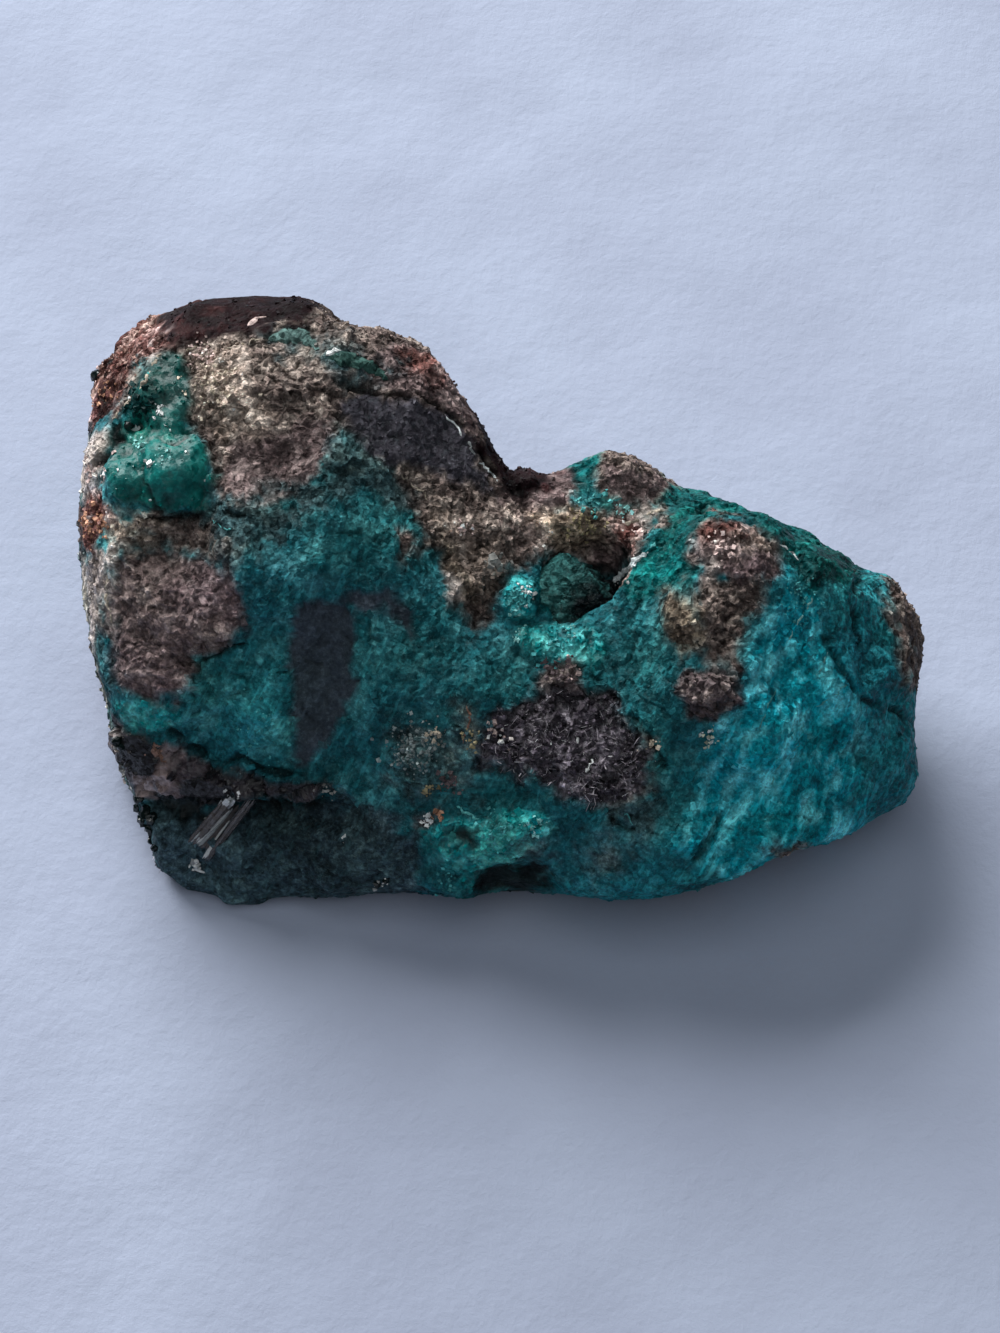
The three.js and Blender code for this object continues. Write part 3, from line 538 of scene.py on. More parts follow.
class Texture:
    """Patterns at the stone's points that relief and colour share."""

    def __init__(self, points):
        uneven = pushed(points, *FLAKES_RUN)
        self.broad, self.patchy, self.fine, self.hue = (
            bumps(points, name) for name in ("broad", "patchy", "fine", "hue"))
        self.streaks = bumps(drawn_out(pushed(points, *STREAKS_RUN), STREAK_STRETCH), "streaks")
        self.flakes, flake_numbers = self.flaked(uneven, *FLAKES)
        self.small_flakes, small_flake_numbers = self.flaked(uneven, *SMALL_FLAKES)
        nearest, second, _, numbers = scattered_cells(points, *GRAIN_CELLS)
        self.grains = np.clip((second - nearest) * GRAIN_STEEPNESS, 0.0, 1.0) ** 0.5
        self.grain_numbers = numbers[:, 0]
        nearest, _, _, _ = scattered_cells(uneven, *BEAD_CELLS)
        self.beads = np.sqrt(np.clip(1.0 - (nearest / BEAD_RADIUS) ** 2, 0.0, 1.0))
        self.creases = self.lines(points, CREASES, self.hue)
        self.wisps = self.lines(points, WISPS, self.patchy)
        self.levels = {
            "broad": self.broad, "patchy": self.patchy, "fine": self.fine, "streaks": self.streaks,
            "flakes": flake_numbers - 0.5, "small_flakes": small_flake_numbers - 0.5,
            "grains": self.grain_numbers - 0.5, "gaps": self.grains - GRAIN_MEAN, "beads": self.beads,
            "wisps": self.wisps,
        }

    @staticmethod
    def flaked(points, stretch, size, seed):
        """Flat faces, each tilted its own way: height from about -0.7 to 0.7, and a number for each."""
        _, _, offset, numbers = scattered_cells(drawn_out(points, stretch), size, seed)
        tilted = FLAKE_TILT * np.sum(offset * (numbers - 0.5), axis=1)
        return tilted + FLAKE_STEP * (numbers[:, 1] - 0.5), numbers[:, 2]

    @staticmethod
    def lines(points, kind, level):
        """Winding thin lines, 1 along them and 0 between, where a broad pattern's level is high enough."""
        winding = np.abs(layered_noise(pushed(points, *kind.run), kind.size, 2, kind.seed))
        return ease(kind.width, 0.0, winding) * ease(*kind.levels, level)

    def height(self, kind):
        """A mineral's relief in mm."""
        flakes = LARGE_FLAKES * self.flakes + (1.0 - LARGE_FLAKES) * self.small_flakes
        return (kind.broad * self.broad + kind.flakes * flakes + kind.grains * (self.grains - GRAIN_LEVEL)
                + FINE_RELIEF * kind.grit * self.fine + kind.stands)

    def tone(self, start, follows):
        """From 0 where it is darkest to 1 where it is lightest, following each pattern by its share."""
        total = start + sum(share * self.levels[pattern] for pattern, share in follows.items())
        return np.clip(total, 0.0, 1.0)[:, None]

    def colours(self, name):
        """A mineral's colours, from dark to light by its tone."""
        kind, tone = MINERALS[name], self.tone(*TONES[name])
        darker = kind.dark + (kind.middle - kind.dark) * tone * 2.0
        paler = kind.middle + (kind.light - kind.middle) * (tone * 2.0 - 1.0)
        return np.where(tone < 0.5, darker, paler)


# ---- The show side ----
def seen_px(points):
    """Where the photograph's camera sees points given in mm, in photograph pixels."""
    away = points - SHOW_CENTRE
    shrink = 1.0 - (away @ TO_EYE) / SHOW_DISTANCE
    right = FRAME_PX[0] / 2 + PX_PER_MM * away[:, 0] / shrink
    down = FRAME_PX[1] / 2 - PX_PER_MM * (away @ SHOW_UP) / shrink
    return np.stack([right, down], axis=1)


def pattern_places(points, normals):
    """Where on the show side's pattern each point lies, in pixels, and its share of that pattern."""
    facing = normals @ TO_EYE
    left_end = ease(*LEFT_END, -normals[:, 0])
    stripes = np.maximum(left_end, ease(*ROUND_THE_BACK, facing))
    push = UNEVEN_PX * np.stack([bumps(points, "rightward"), bumps(points, "downward")], axis=1)
    push[:, 1] += STRIPE_PX * stripes * bumps(points, "stripes")
    return seen_px(points) + push, ease(*LEAVES_SHOW_SIDE, facing - LEFT_LEAVES_SOONER * left_end)


def line_distance(places, start, end):
    """Distance in pixels from each place to a straight line."""
    side = end - start
    along = np.clip(((places - start) @ side) / (side @ side), 0.0, 1.0)
    return np.linalg.norm(places - start - along[:, None] * side, axis=1)


def path_distance(places, path):
    """Distance in pixels from each place to a path of straight lines."""
    corners = np.array(path, float)
    return np.min([line_distance(places, a, b) for a, b in zip(corners, corners[1:])], axis=0)


def outline_distance(places, outline):
    """Distance in pixels from each place to an outline, below zero inside it."""
    corners = np.array(outline, float)
    nearest = path_distance(places, [*outline, outline[0]])
    inside = np.zeros(len(places), bool)
    for start, end in zip(corners, np.roll(corners, -1, axis=0)):
        side = end - start
        crosses = (start[1] > places[:, 1]) != (end[1] > places[:, 1])
        if side[1]:
            inside ^= crosses & (places[:, 0] < start[0] + (places[:, 1] - start[1]) * side[0] / side[1])
    return np.where(inside, -nearest, nearest)


def mineral_masks(points, places, shown, texture):
    """How strongly each mineral shows at each point, from 0 to 1."""
    ragged = (WANDER * bumps(points, "borders") + GRAIN_WANDER * (texture.grain_numbers - 0.5)
              + FINE_WANDER * texture.fine)
    masks = {}
    for place, name in enumerate(ORDER):
        edge = MINERALS[name].edge
        distance = np.min([outline_distance(places, outline) for outline in REGIONS[name]], axis=0)
        masks[name] = shown * ease(edge, -edge, distance + ragged * edge / RAGGED_EDGE)
        if name in HIDDEN:
            share, patch = HIDDEN[name]
            level = layered_noise(points, patch, 4, HIDDEN_SEED + SEED_STEP * place) + RAGGED_PATCHES * ragged
            masks[name] += (1.0 - shown) * ease(*HIDDEN_EDGE, level + share)
    return masks


def blended(value_of, masks):
    """One value for each point from the minerals' values, the later minerals lying over the earlier."""
    result = value_of(UNDERMOST)
    for name in ORDER:
        value = value_of(name)
        share = masks[name] if np.ndim(value) < 2 else masks[name][:, None]
        result = result + share * (value - result)
    return result


# ---- The fine surface ----
def read(items, key, kind=np.float32, width=1):
    """A number, or a row of so many numbers, for each of a mesh's points, edges, faces or corners."""
    values = np.zeros(len(items) * width, kind)
    items.foreach_get(key, values)
    return values.reshape(-1, width) if width > 1 else values


def points_of(mesh):
    """A mesh's points in mm."""
    return read(mesh.vertices, "co", width=3).astype(float) / MM


def normals_of(mesh):
    """The directions that a mesh's points face."""
    return read(mesh.vertex_normals, "vector", width=3).astype(float)


def applied(source, name, modifiers):
    """A new mesh from a source mesh with modifiers applied."""
    holder = bpy.data.objects.new("holder", source)
    bpy.context.collection.objects.link(holder)
    for kind, values in modifiers.items():
        modifier = holder.modifiers.new(kind.lower(), kind)
        for key, value in values.items():
            setattr(modifier, key, value)
    finished = bpy.data.meshes.new_from_object(holder.evaluated_get(bpy.context.evaluated_depsgraph_get()))
    bpy.data.objects.remove(holder)
    finished.name = name
    return finished


def remeshed_copy(node):
    """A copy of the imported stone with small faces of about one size."""
    even = applied(node.data.copy(), "even_surface", {
        "REMESH": {"mode": "VOXEL", "voxel_size": VOXEL * MM},
        "SMOOTH": {"factor": 0.5, "iterations": SMOOTHING},
    })
    return applied(even, "stone_surface", {"DECIMATE": {"ratio": MOST_FACES / (2.0 * len(even.polygons))}})


def neighbour_mean(values, edges, count):
    """The mean of each point's neighbours."""
    total = np.zeros_like(values)
    for axis in range(3):
        total[:, axis] = np.bincount(edges[:, 0], values[edges[:, 1], axis], len(values))
        total[:, axis] += np.bincount(edges[:, 1], values[edges[:, 0], axis], len(values))
    return total / count[:, None]


def hollowness(mesh, points, normals, kind):
    """Above zero in pits and creases, below zero on edges and lumps, from -1 to 1."""
    edges = read(mesh.edges, "vertices", np.int64, 2)
    count = np.maximum(np.bincount(edges.ravel(), minlength=len(points)), 1)
    spread = points
    for _ in range(kind.rounds):
        spread = neighbour_mean(spread, edges, count)
    return np.clip(np.sum((spread - points) * normals, axis=1) / kind.reach, -1.0, 1.0)


def lighter(colours, amount):
    """Colours made lighter, or darker below zero, by a share of themselves."""
    return colours * np.exp2(amount * STOPS)[:, None]


def crack_depth(points, places, shown):
    """How deep the cracks cut at each point, from 0 to 1."""
    broken = ease(-0.5, 0.0, bumps(points, "crack gaps"))
    wobble = CRACK_WOBBLE * bumps(points, "crack wobble")[:, None]
    depth = np.zeros(len(points))
    for width, path in CRACKS:
        distance = path_distance(places + wobble, path) / PX_PER_MM
        depth = np.maximum(depth, ease(width + CRACK_EDGES[0], width + CRACK_EDGES[1], distance))
    return depth * shown * broken


def lump_height(points, places, shown):
    """Height in mm of the rounded lumps."""
    height = np.zeros(len(places))
    uneven = 1.0 + LUMPS_UNEVEN * bumps(points, "lumps")
    for centre, radius, rise in LUMPS:
        far = uneven * np.linalg.norm(places - centre, axis=1) / (radius * PX_PER_MM)
        height = np.maximum(height, rise * np.sqrt(np.clip(1.0 - far**2, 0.0, 1.0)) * shown)
    return height


def colours_before_hollow_shade(places, shown, masks, texture, cracks):
    """The minerals' colours with the show side's lights and darks and the cracks' painted shade, before the
    hollows' painted shade.
    """
    colours = blended(texture.colours, masks)
    # Broad painted light and shade, partly the minerals' own lighter and darker patches.
    for centre, radius, amount in PAINTED_LIGHT_AND_SHADE:
        share = np.exp(-np.sum(((places - centre) / radius) ** 2, axis=1)) * shown
        colours = lighter(colours, amount * share)
    hue = HUE_WANDER * texture.hue * (1.0 - masks["matrix"])
    colours = colours * np.stack([np.ones(len(hue)), 1.0 + hue, 1.0 - hue], axis=1)
    # Painted shade in the cracks and creases.
    return lighter(colours, CRACK_SHADE * cracks)


def store(mesh, name, values):
    """Values kept in a mesh, one for each point: numbers or colours."""
    kind = "FLOAT" if np.ndim(values) == 1 else "FLOAT_COLOR"
    attribute = mesh.attributes.new(name, kind, "POINT")
    if kind == "FLOAT":
        attribute.data.foreach_set("value", values.astype(np.float32))
    else:
        filled = np.concatenate([values, np.ones((len(values), 1))], axis=1)
        attribute.data.foreach_set("color", filled.astype(np.float32).ravel())


def faces_of(mesh):
    """The points of every face in turn, how many each face has, and each face's area."""
    loops = read(mesh.loops, "vertex_index", np.int32)
    return loops, read(mesh.polygons, "loop_total", np.int32), read(mesh.polygons, "area")


def area_at(mesh):
    """How much surface belongs to each point, so that chance picks treat coarse and fine parts alike."""
    loops, corners, areas = faces_of(mesh)
    return np.bincount(loops, np.repeat(areas / corners, corners), len(mesh.vertices))


def give_materials(mesh, masks):
    """Each face has the material of the mineral that covers most of it, and only glass is shaded smooth."""
    mesh.materials.clear()
    for name, sheen in SHEENS.items():
        mesh.materials.append(mineral_material(name, sheen))
    loops, corners, _ = faces_of(mesh)
    face = np.repeat(np.arange(len(corners)), corners)
    finish = np.zeros(len(corners), np.int32)
    for name, material in SHINY.items():
        mostly = np.bincount(face, masks[name][loops], len(corners)) / corners > 0.5
        finish[mostly] = list(SHEENS).index(material)
    mesh.polygons.foreach_set("material_index", finish)
    mesh.polygons.foreach_set("use_smooth", finish == list(SHEENS).index("green_glass"))


def fine_stone(node, rng):
    """The stone's visible surface, and what the crystals on it need to know of it."""
    mesh = remeshed_copy(node)
    points, normals = points_of(mesh), normals_of(mesh)
    texture = Texture(points)
    places, shown = pattern_places(points, normals)
    masks = mineral_masks(points, places, shown, texture)
    rough = blended(lambda name: MINERALS[name].rough, masks)
    grit = blended(lambda name: MINERALS[name].grit, masks)
    streaked = blended(lambda name: STREAKED.get(name, 0.0), masks)
    cracks = np.maximum(crack_depth(points, places, shown), CREASE_SHARE * texture.creases)
    colours = colours_before_hollow_shade(places, shown, masks, texture, cracks)

    height = blended(lambda name: texture.height(MINERALS[name]), masks)
    height += lump_height(points, places, shown)
    height += BEAD_RELIEF * masks[GLASSY] * (texture.beads - 0.5) - CRACK_DEPTH * cracks
    height += CRYSTAL_RELIEF * grit * (1.0 - masks[GLASSY]) * rng.normal(size=len(points))
    height *= ease(0.0, RELIEF_WHOLE, points[:, 2])
    moved = points + normals * height[:, None]
    moved[:, 2] = np.maximum(moved[:, 2], 0.0)
    mesh.vertices.foreach_set("co", (moved * MM).astype(np.float32).ravel())
    mesh.update()
    normals = normals_of(mesh)
    hollows = {kind: hollowness(mesh, moved, normals, kind) for kind in (SMALL_HOLLOWS, LARGE_HOLLOWS)}
    # Painted shade in pits and creases, and painted light on edges and lumps.
    hollow_shade_and_edge_light = sum(kind.shade * np.clip(hollow, kind.least, 1.0) for kind, hollow in hollows.items())
    colours = lighter(colours, -hollow_shade_and_edge_light * (1.0 - STREAKED_LESS_HOLLOW_SHADE * np.clip(streaked, 0.0, 1.0)))

    store_looks(mesh, colours, rough, grit, streaked)
    give_materials(mesh, masks)
    stone = settled("stone_surface", mesh)
    return stone, {"points": moved, "normals": normals, "masks": masks, "tint": colours,
                   "hollow": hollows[SMALL_HOLLOWS], "area": area_at(mesh)}


def store_looks(mesh, tint, shine, grit, streaked):
    """What the materials read at each point."""
    for name, values in {"tint": tint, "shine": shine, "grit": grit, "streaked": streaked}.items():
        store(mesh, name, values)


def settled(name, mesh):
    """A finished piece, which moves with the stone."""
    piece = bpy.data.objects.new(name, mesh)
    bpy.context.collection.objects.link(piece)
    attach(piece, "root")
    return piece


# ---- Small crystals grown on the stone ----
# Points and faces of shapes one unit wide and high, standing on z = 0. A triangle repeats its last corner.
GRAIN = (np.array([(-0.5, -0.4, 0), (0.4, -0.5, 0), (0.5, 0.4, 0), (-0.4, 0.5, 0),
                   (-0.3, -0.45, 0.9), (0.45, -0.3, 1.0), (0.35, 0.45, 0.8), (-0.45, 0.3, 0.75)]),
         [(4, 5, 6, 7), (0, 1, 5, 4), (1, 2, 6, 5), (2, 3, 7, 6), (3, 0, 4, 7)])
NEEDLE = (np.array([(-0.5, -0.3, 0), (0.5, -0.3, 0), (0.5, 0.3, 0), (-0.5, 0.3, 0),
                    (-0.4, -0.25, 0.9), (0.4, -0.25, 0.9), (0.4, 0.25, 0.9), (-0.4, 0.25, 0.9),
                    (0.1, 0.0, 1.0)]),
          [(0, 1, 5, 4), (1, 2, 6, 5), (2, 3, 7, 6), (3, 0, 4, 7),
           (4, 5, 8, 8), (5, 6, 8, 8), (6, 7, 8, 8), (7, 4, 8, 8)])


def prism():
    """A six-sided crystal with a three-faced point, as dioptase grows."""
    turns = [math.radians(60 * side) for side in range(6)]
    foot = [(0.5 * math.cos(turn), 0.5 * math.sin(turn), 0.0) for turn in turns]
    shoulder = [(0.5 * math.cos(turn), 0.5 * math.sin(turn), 0.78 if side % 2 else 0.64)
                for side, turn in enumerate(turns)]
    walls = [(side, (side + 1) % 6, 6 + (side + 1) % 6, 6 + side) for side in range(6)]
    tip = [(6 + side, 6 + (side + 1) % 6, 6 + (side + 2) % 6, 12) for side in (0, 2, 4)]
    return np.array([*foot, *shoulder, (0.0, 0.0, 1.0)]), walls + tip


# How crystals look: their shape, how far they lean by chance, the share of their height that is sunk in, how
# much lighter or darker each is by chance, their shine and grit, and a colour and material of their own.
Crystal = namedtuple("Crystal", "shape lean sink tone look tint material", defaults=(None, "stone_minerals"))
# How many grow, between which sizes in mm, and how wide, deep and high they are for their size.
Growth = namedtuple("Growth", "count low high stretch crystal")
GROWTHS = {
    "teal_flakes": Growth(3000, 0.2, 1.0, (1.0, 0.7, 0.26), Crystal(GRAIN, 0.20, 0.6, 0.10, (0.42, 0.5))),
    "sugar_grains": Growth(5600, 0.16, 0.55, (1.0, 0.9, 0.6), Crystal(GRAIN, 0.5, 0.7, 0.24, (0.42, 0.5))),
    "druse_needles": Growth(1500, 0.4, 1.3, (0.05, 0.05, 1.0),
                            Crystal(NEEDLE, 2.6, 0.3, 0.45, (0.25, 0.1), srgb(164, 158, 164))),
    "druse_grains": Growth(3000, 0.16, 0.5, (0.8, 0.8, 0.8), Crystal(GRAIN, 0.9, 0.5, 0.28, (0.25, 0.4))),
    "green_crystals": Growth(50, 0.3, 0.8, (0.7, 0.7, 0.6),
                             Crystal(prism(), 0.4, 0.6, 0.10, (0.14, 0.1), None, "green_glass")),
}
CRYSTAL_JITTER = 0.09  # how far a crystal's corners wander, for its size
LOWEST = 0.02  # mm above the ground
PALEST = 0.9  # the most light that a crystal sends back
MOSTLY_SMALL = 2.5  # a larger power leaves fewer large crystals


def pick(rng, weights, count):
    """Stone points picked by chance, more often where the weight is larger."""
    return rng.choice(len(weights), count, p=weights / weights.sum())


def unit(vectors):
    """The same directions with a length of 1."""
    return vectors / np.linalg.norm(vectors, axis=1)[:, None]


def grow(name, surface, chosen, sizes, crystal, rng, up=None, tint=None):
    """Many crystals in one piece, with (width, depth, height) in mm for each."""
    corners, faces = crystal.shape
    count, number = len(chosen), len(corners)
    if up is None:
        up = unit(surface["normals"][chosen] + crystal.lean * rng.normal(size=(count, 3)))
    if tint is None:
        tint = surface["tint"][chosen] if crystal.tint is None else crystal.tint
    side = unit(np.cross(up, rng.normal(size=(count, 3))))
    depth = np.cross(up, side)
    local = (corners + CRYSTAL_JITTER * rng.normal(size=(count, number, 3))) * sizes[:, None]
    foot = surface["points"][chosen] - up * (crystal.sink * sizes[:, 2])[:, None]
    placed = foot[:, None] + np.einsum("nca,nad->ncd", local, np.stack([side, depth, up], axis=1))
    placed[..., 2] = np.maximum(placed[..., 2], LOWEST)
    first = (np.arange(count) * number)[:, None]
    quads = np.concatenate([first + np.array(face) for face in faces])
    loops = [row[:3] if row[2] == row[3] else row for row in quads.tolist()]
    shades = lighter(np.broadcast_to(tint, (count, 3)), crystal.tone * rng.normal(size=count))
    tints = np.repeat(np.clip(shades, 0.0, PALEST), number, axis=0)
    piece_of(name, placed.reshape(-1, 3), loops, tints, crystal.look, crystal.material)


def piece_of(name, points, faces, tint, look, material="stone_minerals"):
    """A settled piece from points in mm, with the stone's own material unless another is named."""
    mesh = bpy.data.meshes.new(name)
    mesh.from_pydata((points * MM).tolist(), [], faces)
    shine, grit = (np.full(len(points), value) for value in look)
    store_looks(mesh, np.broadcast_to(tint, (len(points), 3)), shine, grit, np.zeros(len(points)))
    mesh.materials.append(bpy.data.materials[material])
    settled(name, mesh)


def even_sizes(rng, count, low, high, stretch):
    """Sizes spread between low and high mm, most of them small, times a stretch for each direction."""
    return (low + (high - low) * rng.random(count) ** MOSTLY_SMALL)[:, None] * np.array(stretch)


def grow_crystals(surface, rng):
    """The stone's grains, flakes, needles and small crystals, each kind where its minerals are."""
    masks = surface["masks"]
    open_ground = ease(0.3, 1.2, surface["points"][:, 2]) * ease(0.6, -0.2, surface["hollow"])
    open_ground *= surface["area"]
    others = sum(masks[name] for name in ORDER if name not in {"deep", "turquoise", "bright"})
    sandy = sum(masks[name] for name in ("matrix", "sugar", "pale", "olive", "crumb")) + 0.4 * masks["brown"]
    weights = {
        "teal_flakes": np.clip(1.0 - others, 0.0, 1.0) * (1.0 - 0.9 * masks["deep"]),
        "sugar_grains": sandy + 0.6 * masks["rust"],
        "druse_needles": masks["druse"] ** 3,
        "druse_grains": masks["druse"],
        "green_crystals": masks[GLASSY],
    }
    for name, growth in GROWTHS.items():
        chosen = pick(rng, open_ground * weights[name], growth.count)
        sizes = even_sizes(rng, growth.count, growth.low, growth.high, growth.stretch)
        grow(name, surface, chosen, sizes, growth.crystal, rng)


# ---- Single features placed by where the photograph shows them ----
# Facets that catch the window, their near-white colour a painted highlight: places in photograph pixels and
# sizes in mm.
GLINTS = [
    ((134, 428), 1.1), ((149, 464), 0.8), ((130, 398), 0.4), ((186, 452), 0.4), ((462, 527), 0.7),
    ((500, 735), 0.3), ((142, 814), 0.5), ((551, 744), 0.3), ((377, 886), 0.5), ((142, 832), 0.4),
    ((330, 793), 0.3), ((528, 592), 0.5), ((526, 606), 0.5), ((518, 584), 0.4), ((560, 575), 0.3),
    ((614, 580), 0.4), ((690, 540), 0.3), ((700, 734), 0.5), ((711, 742), 0.5), ((206, 818), 0.4),
    ((232, 800), 0.5), ((218, 808), 0.4), ((198, 866), 0.5), ((150, 500), 0.3), ((118, 470), 0.4),
    ((170, 430), 0.3), ((205, 480), 0.3),
]
# The glints' near-white tint is a painted highlight.
GLINT = Crystal(GRAIN, 0.0, 0.4, 0.05, (0.16, 0.0), srgb(206, 214, 212), "green_glass")
GLINT_STRETCH = np.array([1.0, 0.6, 0.5])
GLINT_SCATTER = 0.05
# Clusters of small coloured crystals: place and reach in photograph pixels, how many, how large in mm, and
# colour.
Cluster = namedtuple("Cluster", "place reach count size colour")
GREY, SAND, COPPER = srgb(146, 146, 142), srgb(192, 180, 162), srgb(146, 116, 106)
SEA, MAUVE, OCHRE = srgb(80, 164, 166), srgb(104, 92, 94), srgb(164, 152, 118)
ASH, IVORY, FOREST = srgb(126, 138, 138), srgb(216, 218, 196), srgb(6, 46, 46)
# The white clusters at (526, 592), (150, 463), (620, 582), (382, 884), (232, 796) and (196, 867) are painted
# highlights.
CLUSTERS = [Cluster(*row) for row in [
    ((517, 600), 9, 90, 0.7, SEA), ((526, 592), 5, 22, 0.6, WHITE), ((514, 612), 5, 14, 0.5, MINT),
    ((520, 634), 5, 14, 0.5, MINT), ((570, 628), 7, 14, 0.5, MINT), ((556, 645), 14, 60, 0.6, SEA),
    ((150, 463), 4, 7, 0.6, WHITE), ((165, 453), 8, 10, 0.5, MINT), ((159, 410), 5, 14, 0.6, WHITE),
    ((140, 442), 7, 14, 0.7, MINT), ((494, 566), 9, 22, 1.1, GREY), ((582, 522), 12, 60, 0.6, OCHRE),
    ((638, 530), 9, 26, 0.6, PINK), ((592, 502), 10, 26, 0.7, AQUA), ((622, 512), 6, 16, 0.6, MINT),
    ((620, 582), 4, 6, 0.5, WHITE), ((708, 740), 7, 20, 0.5, IVORY), ((415, 748), 18, 260, 0.5, ASH),
    ((433, 735), 6, 16, 0.6, SAND), ((429, 788), 5, 16, 0.6, OCHRE), ((450, 784), 8, 26, 0.7, MAUVE),
    ((426, 821), 5, 16, 0.7, WHITE), ((436, 815), 5, 18, 0.7, ORANGE), ((495, 735), 9, 26, 0.6, PINK),
    ((560, 672), 11, 50, 0.7, MAUVE), ((572, 668), 7, 20, 0.6, PINK), ((652, 745), 6, 14, 0.6, SAND),
    ((722, 546), 11, 34, 0.7, PINK), ((215, 388), 20, 120, 0.5, SAND), ((202, 354), 11, 50, 0.6, PINK),
    ((95, 470), 12, 50, 0.7, PINK), ((94, 522), 11, 90, 0.6, ORANGE), ((122, 352), 18, 110, 0.6, COPPER),
    ((104, 392), 12, 40, 0.6, ORANGE), ((157, 750), 5, 16, 0.7, COPPER), ((382, 884), 5, 9, 0.6, WHITE),
    ((328, 792), 8, 18, 0.5, GREY), ((262, 728), 22, 50, 0.4, SEA), ((470, 735), 8, 20, 0.6, OCHRE),
    ((500, 832), 15, 70, 0.5, SEA), ((534, 824), 8, 26, 0.6, MINT), ((445, 880), 9, 20, 0.5, SEA),
    ((232, 796), 6, 12, 0.6, WHITE), ((196, 867), 5, 9, 0.7, WHITE), ((142, 404), 13, 70, 0.8, FOREST),
    ((800, 600), 16, 50, 0.5, SEA), ((466, 530), 8, 18, 0.7, PINK),
]]
CLUSTER_CRYSTAL = Crystal(GRAIN, 0.6, 0.55, 0.22, (0.35, 0.3))
SMALLEST_IN_CLUSTER = 0.35  # of its largest crystal
CLUSTER_STRETCH = (1.0, 0.8, 0.7)


class SeenStone:
    """Finds the places on the stone that the photograph shows at given pixels."""

    def __init__(self, stone):
        self.points, self.normals = points_of(stone.data), normals_of(stone.data)
        self.places = seen_px(self.points)
        faces = [tuple(face.vertices) for face in stone.data.polygons]
        self.tree = BVHTree.FromPolygons(self.points.tolist(), faces)

    def at(self, right, down):
        """The point and normal there in mm, or those nearest to it where the stone doesn't reach so far."""
        eye = SHOW_CENTRE + TO_EYE * SHOW_DISTANCE
        across_plane = (right - FRAME_PX[0] / 2) / PX_PER_MM * np.array([1.0, 0.0, 0.0])
        up_plane = (FRAME_PX[1] / 2 - down) / PX_PER_MM * SHOW_UP
        ray = SHOW_CENTRE + across_plane + up_plane - eye
        hit, normal, _, _ = self.tree.ray_cast(Vector(eye), Vector(ray))
        if hit:
            return np.array(hit), np.array(normal)
        nearest = np.argmin(np.linalg.norm(self.places - (right, down), axis=1))
        return self.points[nearest], self.normals[nearest]


def add_glints(seen, rng):
    """Small near-white facets, a painted highlight, turned so that they catch the window."""
    here = {"points": np.array([seen.at(*place)[0] for place, _ in GLINTS])}
    up = unit(CATCHING + GLINT_SCATTER * rng.normal(size=(len(GLINTS), 3)))
    sizes = np.array([size for _, size in GLINTS])[:, None] * GLINT_STRETCH
    grow("glints", here, np.arange(len(GLINTS)), sizes, GLINT, rng, up)


def add_clusters(surface, rng):
    """Clusters of small coloured crystals, thickest in the middle."""
    places = seen_px(surface["points"])
    facing = np.clip(surface["normals"] @ TO_EYE, 0.0, 1.0) * surface["area"]
    chosen, sizes, tints = [], [], []
    for cluster in CLUSTERS:
        near = np.exp(-np.sum(((places - cluster.place) / cluster.reach) ** 2, axis=1))
        chosen.append(pick(rng, near * facing, cluster.count))
        smallest = SMALLEST_IN_CLUSTER * cluster.size
        sizes.append(even_sizes(rng, cluster.count, smallest, cluster.size, CLUSTER_STRETCH))
        tints.append(np.tile(cluster.colour, (cluster.count, 1)))
    grow("coloured_crystals", surface, np.concatenate(chosen), np.concatenate(sizes), CLUSTER_CRYSTAL, rng,
         tint=np.concatenate(tints))


class Joined:
    """Small closed shapes joined into one piece."""

    def __init__(self):
        self.points, self.faces, self.tints = [], [], []

    def add(self, points, faces, tint):
        """One more shape, of one colour."""
        self.faces += [tuple(corner + len(self.points) for corner in face) for face in faces]
        self.points += points.tolist()
        self.tints += [tint] * len(points)

    def settle(self, name, look, material="stone_minerals"):
        """The piece that all the shapes make."""
        piece_of(name, np.array(self.points), self.faces, np.array(self.tints), look, material)


def tube(places, normals, widths, flatness, sides=6):
    """Points and faces of a closed tube through places, wider across the normals than along them."""
    side = unit(np.cross(normals, np.gradient(places, axis=0)))
    turns = 2.0 * np.pi * np.arange(sides) / sides
    wide, high = np.cos(turns)[:, None], flatness * np.sin(turns)[:, None]
    points = places[:, None] + widths[:, None, None] * (wide * side[:, None] + high * normals[:, None])
    faces = []
    for first in range(0, (len(places) - 1) * sides, sides):
        for turn in range(sides):
            after = first + (turn + 1) % sides
            faces.append((first + turn, after, after + sides, first + turn + sides))
    last = (len(places) - 1) * sides
    faces += [tuple(range(sides))[::-1], tuple(range(last, last + sides))]
    return points.reshape(-1, 3), faces


WIDE = 0.5  # a mark of a larger half width, in mm, is a flake that narrows smoothly to its ends
UNBROKEN = 0.25  # a mark of this half width or more is in one stretch
VEIN_STEP, VEIN_WOBBLE = 3.0, 0.9  # pixels
STRETCH_STEPS, GAP_STEPS = (4, 11), (0, 3)  # how long a narrow mark's stretches and gaps are, in steps
SHORTEST = 3  # steps in a stretch
VEIN_FLATNESS = 0.5


def vein_places(path, seen, rng):
    """The stone's points and normals along a path in pixels, which wobbles a little."""
    path = np.array(path, float)
    lengths = np.concatenate([[0.0], np.cumsum(np.linalg.norm(np.diff(path, axis=0), axis=1))])
    along = np.arange(0.0, lengths[-1], VEIN_STEP)
    line = np.stack([np.interp(along, lengths, path[:, axis]) for axis in (0, 1)], axis=1)
    line += VEIN_WOBBLE * rng.normal(size=line.shape)
    return [seen.at(*place) for place in line]


